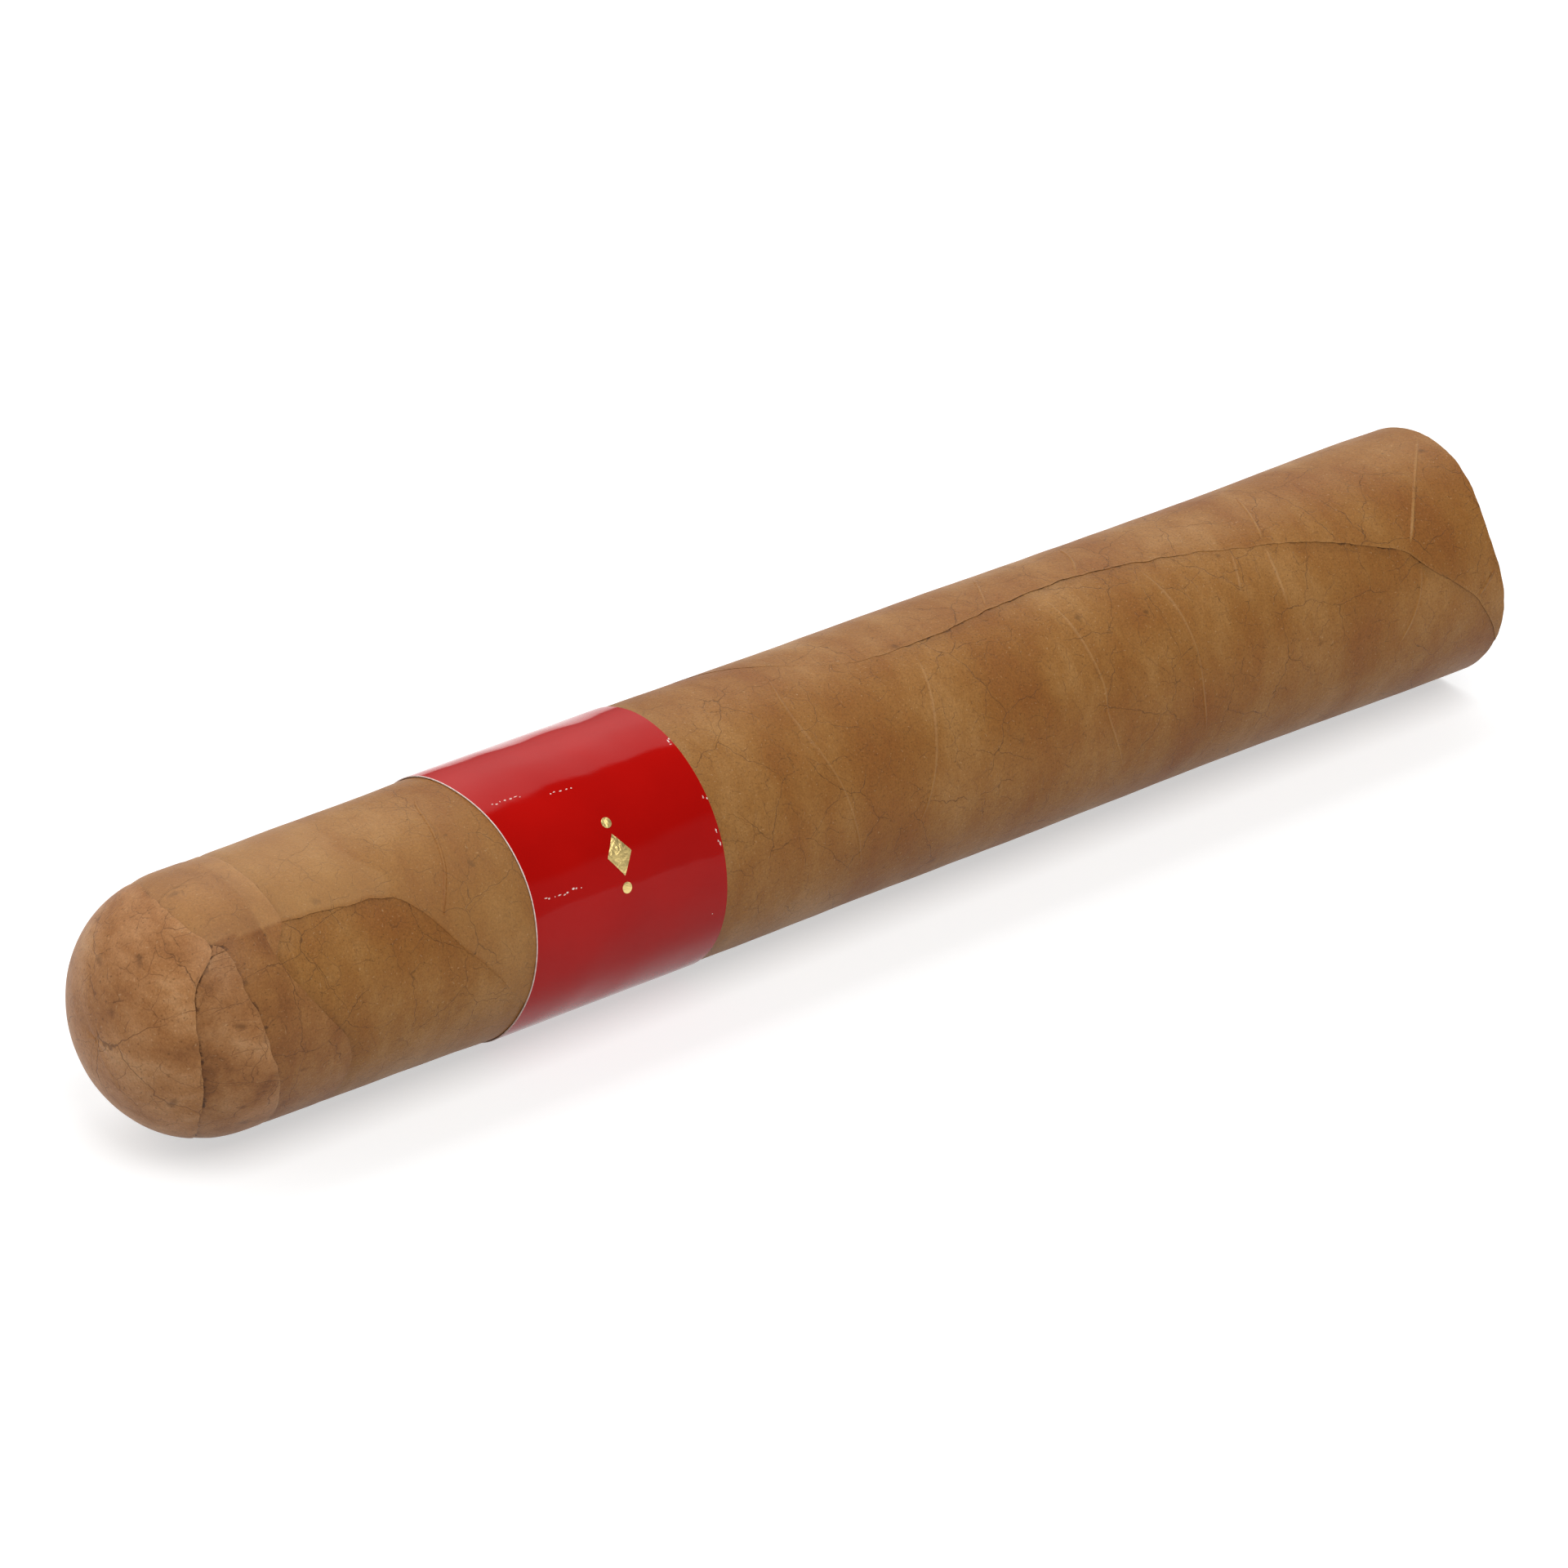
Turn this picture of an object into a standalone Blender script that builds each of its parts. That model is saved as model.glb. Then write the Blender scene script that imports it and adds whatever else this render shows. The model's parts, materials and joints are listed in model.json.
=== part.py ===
"""A hand-rolled cigar: bunched filler leaves, two binders, a spiral wrapper, cap leaves and a paper band.

Metres, +Z up. The cigar lies along X on the plane z = 0, its closed head towards -X and its cut foot
towards +X. Angles round the cigar start at the top and grow towards -Y. Depths are measured inwards from
the finished skin.
"""

import math

import bmesh
import bpy
from mathutils import Vector

MM = 0.001

# Finished size of the cigar
LENGTH = 127.0 * MM
HEAD_DEPTH = 9.2 * MM  # the rounded head, from its tip to the start of the barrel
BARREL_RADIUS = 9.90 * MM  # where the band sits
HEAD_TAPER = 0.15 * MM
WAIST_DIP = 0.12 * MM
FOOT_FLARE = 0.10 * MM
FLARE_LENGTH = 18.0 * MM  # the foot opens out over this length
WAIST_FROM_FOOT = 44.0 * MM
HEAD_FULLNESS = 2.2  # 2 is an ellipse, more is a blunter head
UNDERSIDE_FLAT = 0.25 * MM  # how far the soft barrel is pressed flat where it lies

# Leaf and paper thicknesses, and the gaps between wound layers
WRAPPER_THICKNESS = 0.15 * MM
BINDER_THICKNESS = 0.20 * MM
CAP_THICKNESS = 0.12 * MM
FILLER_THICKNESS = 0.46 * MM
BAND_THICKNESS = 0.12 * MM
LAYER_GAP = 0.18 * MM  # between one wound leaf and the next
LAP_GAP = 0.05 * MM  # between a leaf and its own lap

# Wrapper: its lap and the route of its visible edge, as distance from the foot and angle round the cigar
WRAPPER_RAMP = math.radians(40.0)
WRAPPER_SEAM = (
    (0.0 * MM, 117.0),
    (3.0 * MM, 88.0),
    (9.0 * MM, 56.0),
    (20.0 * MM, 30.0),
    (37.0 * MM, 12.0),
    (58.0 * MM, 4.0),
    (66.0 * MM, -20.0),
    (95.0 * MM, -245.0),
    (103.0 * MM, -300.0),
    (112.0 * MM, -320.0),
    (127.0 * MM, -328.0),
)

# Binders: wound the other way, each seam turning steadily from foot to head
BINDER_RAMP = math.radians(36.0)
BINDER_TWIST = math.radians(130.0)
OUTER_BINDER_START = math.radians(20.0)
INNER_BINDER_START = math.radians(200.0)

# Cap leaves: how far each reaches from the tip along the skin, its slant, and the hole it leaves at the tip
CAP_LOWER_REACH = 12.7 * MM
CAP_MIDDLE_REACH = 9.8 * MM
CAP_DISC_REACH = 7.1 * MM
CAP_SLANT = 0.8 * MM
CAP_LOWER_SLANT_ANGLE = math.radians(0.0)
CAP_MIDDLE_SLANT_ANGLE = math.radians(120.0)
CAP_DISC_SLANT_ANGLE = math.radians(0.0)
CAP_LOWER_HOLE = 4.2 * MM
CAP_MIDDLE_HOLE = 2.6 * MM
WRAPPER_HOLE = 3.4 * MM
BINDER_HOLE = 3.8 * MM
CAP_BLEND = 2.4 * MM  # a leaf dips under the next cap over this length
CAP_RAMP = math.radians(40.0)
CAP_LOWER_SEAM = math.radians(215.0)
CAP_MIDDLE_SEAM = math.radians(300.0)

# Filler bunch: each leaf is folded back and forth and its runs lie in wavy layers
FILLER_LEAVES = (
    "filler_volado_1",
    "filler_seco_1",
    "filler_ligero_1",
    "filler_seco_2",
    "filler_ligero_2",
    "filler_seco_3",
    "filler_volado_2",
)
RUNS_PER_LEAF = 3
FILLER_WAVE = 0.40 * MM
FILLER_WAVELENGTH = 5.2 * MM
FILLER_CLEARANCE = 0.35 * MM
BUNCH_TURN = math.radians(35.0)

# Band: a paper strip glued to itself round the barrel
BAND_WIDTH = 17.5 * MM
BAND_FROM_HEAD = 31.8 * MM
BAND_CLEARANCE = 0.08 * MM
BAND_RAMP = math.radians(14.0)

# Facets: columns in one turn of a wound leaf, and how many more lap over its start
WRAPPER_COLUMNS = 31
BINDER_COLUMNS = 28
CAP_COLUMNS = 28
BAND_COLUMNS = 48
LAP_COLUMNS = 3
TAB_COLUMNS = 5
BAND_SEAM = math.pi + 4.5 * 2 * math.pi / BAND_COLUMNS  # low at the back, with a facet facing straight down
FILLER_STEP = 1.3 * MM
FOLD_STEPS = 4
MERGE_DISTANCE = 0.001 * MM

# Radii and places along X
HEAD_RADIUS = BARREL_RADIUS - HEAD_TAPER
WAIST_RADIUS = BARREL_RADIUS - WAIST_DIP
FOOT_RADIUS = BARREL_RADIUS + FOOT_FLARE
TIP_X = -LENGTH / 2
FOOT_X = LENGTH / 2
SHOULDER_X = TIP_X + HEAD_DEPTH
BAND_CENTRE_X = TIP_X + BAND_FROM_HEAD + BAND_WIDTH / 2
BAND_END_X = TIP_X + BAND_FROM_HEAD + BAND_WIDTH
WAIST_X = FOOT_X - WAIST_FROM_FOOT

# Lap heights and the radii that follow from the layers
WRAPPER_LAP_HEIGHT = WRAPPER_THICKNESS + LAP_GAP
BINDER_LAP_HEIGHT = BINDER_THICKNESS + LAP_GAP
CAP_LAP_HEIGHT = CAP_THICKNESS + LAP_GAP
BAND_BORE = BARREL_RADIUS + WRAPPER_LAP_HEIGHT + BAND_CLEARANCE
AXIS_HEIGHT = BAND_BORE + BAND_THICKNESS - UNDERSIDE_FLAT
OUTER_BINDER_DEPTH = WRAPPER_THICKNESS + LAYER_GAP + BINDER_LAP_HEIGHT
INNER_BINDER_DEPTH = OUTER_BINDER_DEPTH + BINDER_THICKNESS + LAYER_GAP + BINDER_LAP_HEIGHT
BUNCH_DEPTH = INNER_BINDER_DEPTH + BINDER_THICKNESS + FILLER_CLEARANCE


def smoothstep(t):
    """0 below 0, 1 above 1, and an S-curve between."""
    t = min(max(t, 0.0), 1.0)
    return t * t * (3.0 - 2.0 * t)


def blend(start, end, t):
    return start + (end - start) * smoothstep(t)


def barrel_radius(x):
    """Radius of the wrapper's outer face at x, away from its lap."""
    if x < BAND_CENTRE_X:
        return blend(HEAD_RADIUS, BARREL_RADIUS, (x - SHOULDER_X) / (BAND_CENTRE_X - SHOULDER_X))
    if x < WAIST_X:
        return blend(BARREL_RADIUS, WAIST_RADIUS, (x - BAND_END_X) / (WAIST_X - BAND_END_X))
    return blend(WAIST_RADIUS, FOOT_RADIUS, (x - FOOT_X + FLARE_LENGTH) / FLARE_LENGTH)


def skin(reach):
    """Point and outward normal, each (along X, radial), of the finished skin at a reach from the tip."""
    share = reach / HEAD_DEPTH
    if share >= 1.0:
        x = TIP_X + reach
        return x, barrel_radius(x), 0.0, 1.0
    angle = share * math.pi / 2
    along, across = math.cos(angle), math.sin(angle)
    power = 2.0 / HEAD_FULLNESS
    x = SHOULDER_X - HEAD_DEPTH * along**power
    r = HEAD_RADIUS * across**power
    normal = Vector((-(along ** (2.0 - power)) / HEAD_DEPTH, across ** (2.0 - power) / HEAD_RADIUS))
    normal.normalize()
    return x, r, normal.x, normal.y


def round_axis(x, radius, angle):
    """The point at x, that far from the axis and that far round it. Below, the barrel is pressed flat."""
    flat = UNDERSIDE_FLAT * smoothstep((x - SHOULDER_X) / (TIP_X + BAND_FROM_HEAD - SHOULDER_X))
    return Vector((x, -radius * math.sin(angle), max(radius * math.cos(angle), flat - radius)))


def on_skin(reach, angle, height):
    """The point that height above the finished skin."""
    x, r, along, out = skin(reach)
    return round_axis(x + along * height, r + out * height, angle)


def cap_edge(reach, slant_angle):
    """How far a cap leaf with that reach comes down at each angle."""
    return lambda angle: reach + CAP_SLANT * math.cos(angle - slant_angle)


LOWER_EDGE = cap_edge(CAP_LOWER_REACH, CAP_LOWER_SLANT_ANGLE)
MIDDLE_EDGE = cap_edge(CAP_MIDDLE_REACH, CAP_MIDDLE_SLANT_ANGLE)
DISC_EDGE = cap_edge(CAP_DISC_REACH, CAP_DISC_SLANT_ANGLE)


def under(reach, edge_reach, amount):
    """Depth that a leaf takes to pass under the leaf whose edge lies at that reach."""
    return amount * (1.0 - smoothstep((reach - edge_reach) / CAP_BLEND))


def cap_middle_depth(reach, angle):
    return under(reach, DISC_EDGE(angle), CAP_THICKNESS + LAYER_GAP + CAP_LAP_HEIGHT)


def cap_lower_depth(reach, angle):
    dip = under(reach, MIDDLE_EDGE(angle), CAP_THICKNESS + LAYER_GAP + CAP_LAP_HEIGHT)
    return dip + cap_middle_depth(reach, angle)


def wrapper_depth(reach, angle):
    dip = under(reach, LOWER_EDGE(angle), CAP_THICKNESS + LAYER_GAP + WRAPPER_LAP_HEIGHT)
    return dip + cap_lower_depth(reach, angle)


def deepest_wrapper(reach):
    """The wrapper's depth under the longest side of every cap."""
    depth = under(reach, CAP_LOWER_REACH + CAP_SLANT, CAP_THICKNESS + LAYER_GAP + WRAPPER_LAP_HEIGHT)
    for edge in (CAP_MIDDLE_REACH, CAP_DISC_REACH):
        depth += under(reach, edge + CAP_SLANT, CAP_THICKNESS + LAYER_GAP + CAP_LAP_HEIGHT)
    return depth


def wrapper_seam(reach):
    """Angle of the wrapper's visible edge at a reach from the tip, eased through the route's points."""
    from_foot = LENGTH - reach
    scale = LENGTH / WRAPPER_SEAM[-1][0]
    points = [(distance * scale, math.radians(angle)) for distance, angle in WRAPPER_SEAM]
    slopes = [(b[1] - a[1]) / (b[0] - a[0]) for a, b in zip(points, points[1:])]
    for i, (start, end) in enumerate(zip(points, points[1:])):
        if from_foot <= end[0] or i == len(slopes) - 1:
            width = end[0] - start[0]
            t = min(max((from_foot - start[0]) / width, 0.0), 1.0)
            before = (slopes[max(i - 1, 0)] + slopes[i]) / 2 * width
            after = (slopes[i] + slopes[min(i + 1, len(slopes) - 1)]) / 2 * width
            rise = end[1] - start[1]
            curve = t * t * (3 * rise - 2 * before - after) + t * t * t * (before + after - 2 * rise)
            return start[1] + before * t + curve
    return points[0][1]


def finish(name, place, mesh, thickness, offset, colour, roughness):
    """Makes the named object from an open sheet: Solidify gives it its thickness."""
    obj = bpy.data.objects.new(name, mesh)
    CIGAR.objects.link(obj)
    obj.parent = place
    sheet = obj.modifiers.new("thickness", "SOLIDIFY")
    sheet.thickness = thickness
    sheet.offset = offset
    material = bpy.data.materials.new(name)
    material.use_nodes = True
    shader = material.node_tree.nodes["Principled BSDF"]
    shader.inputs["Base Color"].default_value = (*colour, 1.0)
    shader.inputs["Roughness"].default_value = roughness
    shader.inputs["Metallic"].default_value = 0.0
    mesh.materials.append(material)
    return obj


def grid_sheet(name, across, along, point, closed=False):
    """An open sheet of across by along cells. point(u, v) places each corner, with u and v from 0 to 1."""
    form = bmesh.new()
    bmesh.ops.create_grid(form, x_segments=across, y_segments=along, size=0.5)
    for corner in form.verts:
        corner.co = point(corner.co.x + 0.5, corner.co.y + 0.5)
    if closed:
        bmesh.ops.remove_doubles(form, verts=form.verts, dist=MERGE_DISTANCE)
    bmesh.ops.triangulate(form, faces=form.faces, quad_method="SHORT_EDGE")
    form.normal_update()
    outward = sum(face.normal.dot(Vector((0.0, *face.calc_center_median().yz))) for face in form.faces)
    if outward < 0.0:
        bmesh.ops.reverse_faces(form, faces=form.faces)
    mesh = bpy.data.meshes.new(name)
    form.to_mesh(mesh)
    form.free()
    mesh.shade_smooth()
    return mesh


def wound_sheet(name, columns, steps, ramp, lap_height, seam, turn, reach_at, depth):
    """A leaf wound once round and lapped over its own start. turn is 1 or -1, the way it is wound."""

    def point(u, v):
        wound = u * 2 * math.pi * (columns + LAP_COLUMNS) / columns
        lift = lap_height * smoothstep((wound - 2 * math.pi + ramp) / ramp)
        angle = seam(v) + turn * wound
        reach = reach_at(v, angle)
        return on_skin(reach, angle, lift - depth(reach, angle))

    return grid_sheet(name, columns + LAP_COLUMNS, steps, point)


def wrapper_reaches():
    """Reaches from tip hole to foot, closer together where the seam turns fast or the skin curves."""
    most_turn = math.radians(14.0)
    longest = 9.0 * MM
    over_head = HEAD_DEPTH / 5
    reaches = [WRAPPER_HOLE]
    step = LENGTH / 500
    while reaches[-1] < LENGTH - step:
        reach = reaches[-1]
        limit = over_head if reach < CAP_LOWER_REACH + CAP_SLANT + CAP_BLEND else longest
        furthest = min(LENGTH, reach + limit)
        end = reach
        while end < furthest and abs(wrapper_seam(end) - wrapper_seam(reach)) < most_turn:
            end += step
        reaches.append(min(end, LENGTH))
    reaches[-1] = LENGTH
    return reaches


def make_wrapper():
    reaches = wrapper_reaches()
    last = len(reaches) - 1

    def reach_of(v):
        return reaches[round(v * last)]

    mesh = wound_sheet(
        "wrapper",
        WRAPPER_COLUMNS,
        last,
        WRAPPER_RAMP,
        WRAPPER_LAP_HEIGHT,
        lambda v: wrapper_seam(reach_of(v)) - 2 * math.pi * LAP_COLUMNS / WRAPPER_COLUMNS,
        1,
        lambda v, angle: reach_of(v),
        wrapper_depth,
    )
    finish("wrapper", AXIS, mesh, WRAPPER_THICKNESS, -1.0, (0.41, 0.20, 0.075), 0.62)


def make_binder(name, start, extra_depth, colour):
    head_steps, barrel_steps = 5, 9

    def reach_of(v):
        step = v * (head_steps + barrel_steps)
        if step < head_steps:
            return BINDER_HOLE + (CAP_LOWER_REACH - BINDER_HOLE) * step / head_steps
        return CAP_LOWER_REACH + (LENGTH - CAP_LOWER_REACH) * (step - head_steps) / barrel_steps

    mesh = wound_sheet(
        name,
        BINDER_COLUMNS,
        head_steps + barrel_steps,
        BINDER_RAMP,
        BINDER_LAP_HEIGHT,
        lambda v: start - BINDER_TWIST * reach_of(v) / LENGTH,
        -1,
        lambda v, angle: reach_of(v),
        lambda reach, angle: deepest_wrapper(reach) + extra_depth,
    )
    finish(name, AXIS, mesh, BINDER_THICKNESS, -1.0, colour, 0.75)


def make_cap_strip(name, hole, edge, seam, depth, colour):
    """A strip of leaf wound once round the head and lapped, open at the tip."""
    mesh = wound_sheet(
        name,
        CAP_COLUMNS,
        6,
        CAP_RAMP,
        CAP_LAP_HEIGHT,
        lambda v: seam,
        1,
        lambda v, angle: hole + (edge(angle) - hole) * v,
        depth,
    )
    finish(name, AXIS, mesh, CAP_THICKNESS, -1.0, colour, 0.6)


def make_cap_disc():
    """The round piece of leaf that closes the tip."""
    lowest = MERGE_DISTANCE / 4

    def point(u, v):
        angle = u * 2 * math.pi
        return on_skin(max(v * DISC_EDGE(angle), lowest), angle, 0.0)

    mesh = grid_sheet("cap_disc", CAP_COLUMNS, 6, point, closed=True)
    finish("cap_disc", AXIS, mesh, CAP_THICKNESS, -1.0, (0.36, 0.17, 0.075), 0.5)


def bunch_head(radius):
    """Where the bunch's rounded head starts, along X, at that distance from the axis."""
    steps = 400
    found = SHOULDER_X
    for i in range(steps, 0, -1):
        reach = (CAP_LOWER_REACH + CAP_SLANT + CAP_BLEND) * i / steps
        x, r, along, out = skin(reach)
        depth = deepest_wrapper(reach) + BUNCH_DEPTH
        if r - out * depth < radius:
            break
        found = x - along * depth
    return found


def bunch_radius():
    """The narrowest room that the binders leave along the barrel."""
    return min(HEAD_RADIUS, WAIST_RADIUS, FOOT_RADIUS) - BUNCH_DEPTH - UNDERSIDE_FLAT


def folded_path(leaf):
    """Centreline of one folded leaf across the bunch: wavy runs joined by round folds."""
    room = bunch_radius() - FILLER_THICKNESS / 2
    runs = RUNS_PER_LEAF * len(FILLER_LEAVES)
    pitch = 2 * (room - FILLER_WAVE) / (runs + 1)
    levels = [(RUNS_PER_LEAF * leaf + run - (runs - 1) / 2) * pitch for run in range(RUNS_PER_LEAF)]
    outermost = max(abs(level) for level in levels) + FILLER_WAVE
    half = math.sqrt(room * room - outermost * outermost) - pitch / 2
    cells = max(3, round(2 * half / FILLER_STEP))
    flat = []
    way = 1 if leaf % 2 else -1
    for level in levels:
        flat += [(way * (2 * half * i / cells - half), level) for i in range(cells + 1)]
        if level != levels[-1]:
            for i in range(1, FOLD_STEPS):
                turned = math.pi * i / FOLD_STEPS
                y = half + pitch / 2 * math.sin(turned)
                flat.append((way * y, level + pitch / 2 * (1.0 - math.cos(turned))))
        way = -way
    return [Vector((y, z + FILLER_WAVE * math.sin(2 * math.pi * y / FILLER_WAVELENGTH))) for y, z in flat]


def make_filler_leaf(leaf, colour):
    path = folded_path(leaf)
    last = len(path) - 1
    turn_cos, turn_sin = math.cos(BUNCH_TURN), math.sin(BUNCH_TURN)

    def point(u, v):
        y, z = path[round(u * last)]
        head = bunch_head(math.hypot(y, z) + FILLER_THICKNESS / 2)
        x = head + (FOOT_X - head) * v
        return Vector((x, y * turn_cos - z * turn_sin, y * turn_sin + z * turn_cos))

    name = FILLER_LEAVES[leaf]
    finish(name, AXIS, grid_sheet(name, last, 1, point), FILLER_THICKNESS, 0.0, colour, 0.8)


def make_band():
    """The paper strip, its origin on the barrel's axis so that it slides along it."""

    def point(u, v):
        wound = u * 2 * math.pi * (BAND_COLUMNS + TAB_COLUMNS) / BAND_COLUMNS
        lift = (BAND_THICKNESS + LAP_GAP) * smoothstep((wound - 2 * math.pi + BAND_RAMP) / BAND_RAMP)
        here = round_axis(BAND_CENTRE_X, BAND_BORE + BAND_THICKNESS + lift, BAND_SEAM + wound)
        return Vector(((v - 0.5) * BAND_WIDTH, here.y, here.z))

    place = bpy.data.objects.new("band_axis", None)
    CIGAR.objects.link(place)
    place.parent = AXIS
    place.location = (BAND_CENTRE_X, 0.0, 0.0)
    mesh = grid_sheet("band", BAND_COLUMNS + TAB_COLUMNS, 1, point)
    finish("band", place, mesh, BAND_THICKNESS, -1.0, (0.50, 0.008, 0.012), 0.18)


def clear_scene():
    for obj in list(bpy.data.objects):
        bpy.data.objects.remove(obj)


clear_scene()
CIGAR = bpy.data.collections.new("cigar")
bpy.context.scene.collection.children.link(CIGAR)
AXIS = bpy.data.objects.new("cigar_axis", None)
CIGAR.objects.link(AXIS)
AXIS.location = (0.0, 0.0, AXIS_HEIGHT)

FILLER_COLOURS = {
    "volado": (0.20, 0.095, 0.04),
    "seco": (0.15, 0.065, 0.028),
    "ligero": (0.085, 0.035, 0.017),
}
for number, leaf_name in enumerate(FILLER_LEAVES):
    make_filler_leaf(number, FILLER_COLOURS[leaf_name.split("_")[1]])
make_binder("binder_inner", INNER_BINDER_START, INNER_BINDER_DEPTH, (0.17, 0.075, 0.033))
make_binder("binder_outer", OUTER_BINDER_START, OUTER_BINDER_DEPTH, (0.20, 0.09, 0.04))
make_wrapper()
CAP_COLOUR = (0.34, 0.155, 0.065)
make_cap_strip("cap_lower", CAP_LOWER_HOLE, LOWER_EDGE, CAP_LOWER_SEAM, cap_lower_depth, CAP_COLOUR)
make_cap_strip("cap_middle", CAP_MIDDLE_HOLE, MIDDLE_EDGE, CAP_MIDDLE_SEAM, cap_middle_depth, CAP_COLOUR)
make_cap_disc()
make_band()
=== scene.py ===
"""A hand-rolled cigar with a red paper band: its finished look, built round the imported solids.

Metres, +Z up. The cigar lies along X, its closed head towards -X and its cut foot towards +X. A reach is a
distance from the head's tip, along X on the barrel and counted evenly round the curve on the head. Angles
start at the top and grow towards -Y, the camera's side.
"""

import json
import math
import random

import bmesh
import bpy
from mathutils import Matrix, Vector, noise


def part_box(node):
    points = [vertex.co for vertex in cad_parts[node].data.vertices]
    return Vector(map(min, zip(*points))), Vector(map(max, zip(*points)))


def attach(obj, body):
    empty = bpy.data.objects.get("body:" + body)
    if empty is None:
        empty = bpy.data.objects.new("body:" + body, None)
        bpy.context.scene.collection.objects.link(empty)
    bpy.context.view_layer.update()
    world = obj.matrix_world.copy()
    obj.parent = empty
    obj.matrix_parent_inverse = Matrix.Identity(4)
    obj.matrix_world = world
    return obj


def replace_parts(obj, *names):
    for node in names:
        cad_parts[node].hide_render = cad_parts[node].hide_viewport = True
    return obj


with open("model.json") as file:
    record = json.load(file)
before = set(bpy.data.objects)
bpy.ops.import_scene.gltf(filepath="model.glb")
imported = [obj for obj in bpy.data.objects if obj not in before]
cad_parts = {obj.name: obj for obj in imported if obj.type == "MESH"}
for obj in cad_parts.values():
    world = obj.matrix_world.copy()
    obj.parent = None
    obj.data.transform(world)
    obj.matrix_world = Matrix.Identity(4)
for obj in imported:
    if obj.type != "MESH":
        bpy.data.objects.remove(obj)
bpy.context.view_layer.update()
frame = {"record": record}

# Filler: seven cured tobacco leaves, folded back and forth by hand and pressed into one bunch. Dark thick
# ligero lies in the middle, seco round it and thin pale volado outside. Only the binders hold the bunch,
# and its cut leaf ends show at the foot.
MM = 0.001
TIP_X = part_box("cap_disc")[0].x
FOOT_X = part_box("wrapper")[1].x
AXIS_Z = frame["record"]["mounts"][0]["pos_m"][2]
LENGTH = FOOT_X - TIP_X
HEAD_DEPTH = 9.2 * MM
SHOULDER_X = TIP_X + HEAD_DEPTH
FLARE_LENGTH = 18.0 * MM
BUNCH_RADIUS = 8.84 * MM
BUNCH_FLARE = 0.030  # share by which the bunch opens out at the foot
BUNCH_HEAD = 6.2 * MM  # how far its rounded end stands into the head
BUNCH_SHOULDER = 1.0 * MM  # where that end starts, towards the foot from the shoulder
BUNCH_TURN = math.radians(35.0)
BUNCH_SWIRL = 0.9  # radians by which its middle is twisted
BUNCH_PRESSED = 0.90  # share of its radius beyond which the folds are squeezed
FILLER_RUNS = 5
FILLER_THICKNESS = 0.33 * MM
FILLER_STEP = 0.22 * MM
FILLER_FOLD = 0.4  # how far a fold bulges, as a share of the runs' pitch
FILLER_WAVES = ((0.50 * MM, 6.4 * MM, 0.6), (0.12 * MM, 2.6 * MM, 2.0))  # height, length and phase
FILLER_CRUMPLE = 0.10 * MM
FILLER_CRUMPLE_LENGTH = 0.9 * MM
FILLER_SHORT = 0.15 * MM  # how far the leaves' cut ends lie inside the foot, and how ragged they are
FILLER_RAGGED = 0.45 * MM
FILLER_RAGGED_LENGTH = 1.2 * MM
FILLER_ORDER = (
    "filler_volado_1",
    "filler_seco_1",
    "filler_ligero_1",
    "filler_seco_2",
    "filler_ligero_2",
    "filler_seco_3",
    "filler_volado_2",
)
FOOT_DIP = 0.95 * MM
FOOT_DIP_ANGLE = math.radians(60.0)
FOOT_DIP_SPREAD = math.radians(28.0)
FOOT_PROUD = 0.50 * MM
FOOT_RAGGED = 0.11 * MM
FOOT_NICKS = ((9.0, 1.0, 0.0), (23.0, 0.7, 4.0))  # how fine round the foot, how deep, and a seed
EDGE_FADE = 3.0 * MM
WELD_DISTANCE = 0.0001 * MM
SHARP_ANGLE = math.radians(50.0)


def linear(hex_colour):
    """A linear RGBA colour from an sRGB hex value."""
    parts = [int(hex_colour[i : i + 2], 16) / 255 for i in (1, 3, 5)]
    return (*(p / 12.92 if p <= 0.04045 else ((p + 0.055) / 1.055) ** 2.4 for p in parts), 1.0)


def add_node(tree, kind, inputs=(), stops=(), **settings):
    """Adds a shader node with its settings. Its inputs are named, or listed in the node's own order, and
    each is a value, a socket, or a node that stands for its first output. stops gives a colour ramp's
    positions and colours."""
    made = tree.nodes.new("ShaderNode" + kind)
    for name, value in settings.items():
        setattr(made, name, value)
    for socket, value in inputs.items() if isinstance(inputs, dict) else enumerate(inputs):
        if isinstance(value, bpy.types.Node):
            value = value.outputs[0]
        if isinstance(value, bpy.types.NodeSocket):
            tree.links.new(value, made.inputs[socket])
        else:
            made.inputs[socket].default_value = value
    if stops:
        ramp = made.color_ramp.elements
        ramp[0].position, ramp[1].position = stops[0][0], stops[-1][0]
        for position, _ in stops[1:-1]:
            ramp.new(position)
        for stop, (_, colour) in zip(ramp, stops):
            stop.color = colour
    return made


def new_material(name):
    """A material with an empty node tree, and that tree."""
    made = bpy.data.materials.new(name)
    made.use_nodes = True
    made.node_tree.nodes.clear()
    return made, made.node_tree


def placed(name, data):
    """A new object in the scene."""
    made = bpy.data.objects.new(name, data)
    bpy.context.scene.collection.objects.link(made)
    return made


def noise_round(angle, fine, seed):
    """A smooth noise that closes on itself round a circle. A higher fine gives smaller waves."""
    return noise.noise(Vector((fine * math.sin(angle), fine * math.cos(angle), seed)))


def eased(t):
    """0 below 0, 1 above 1, and an S-curve between."""
    t = min(max(t, 0.0), 1.0)
    return t * t * (3.0 - 2.0 * t)


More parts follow.
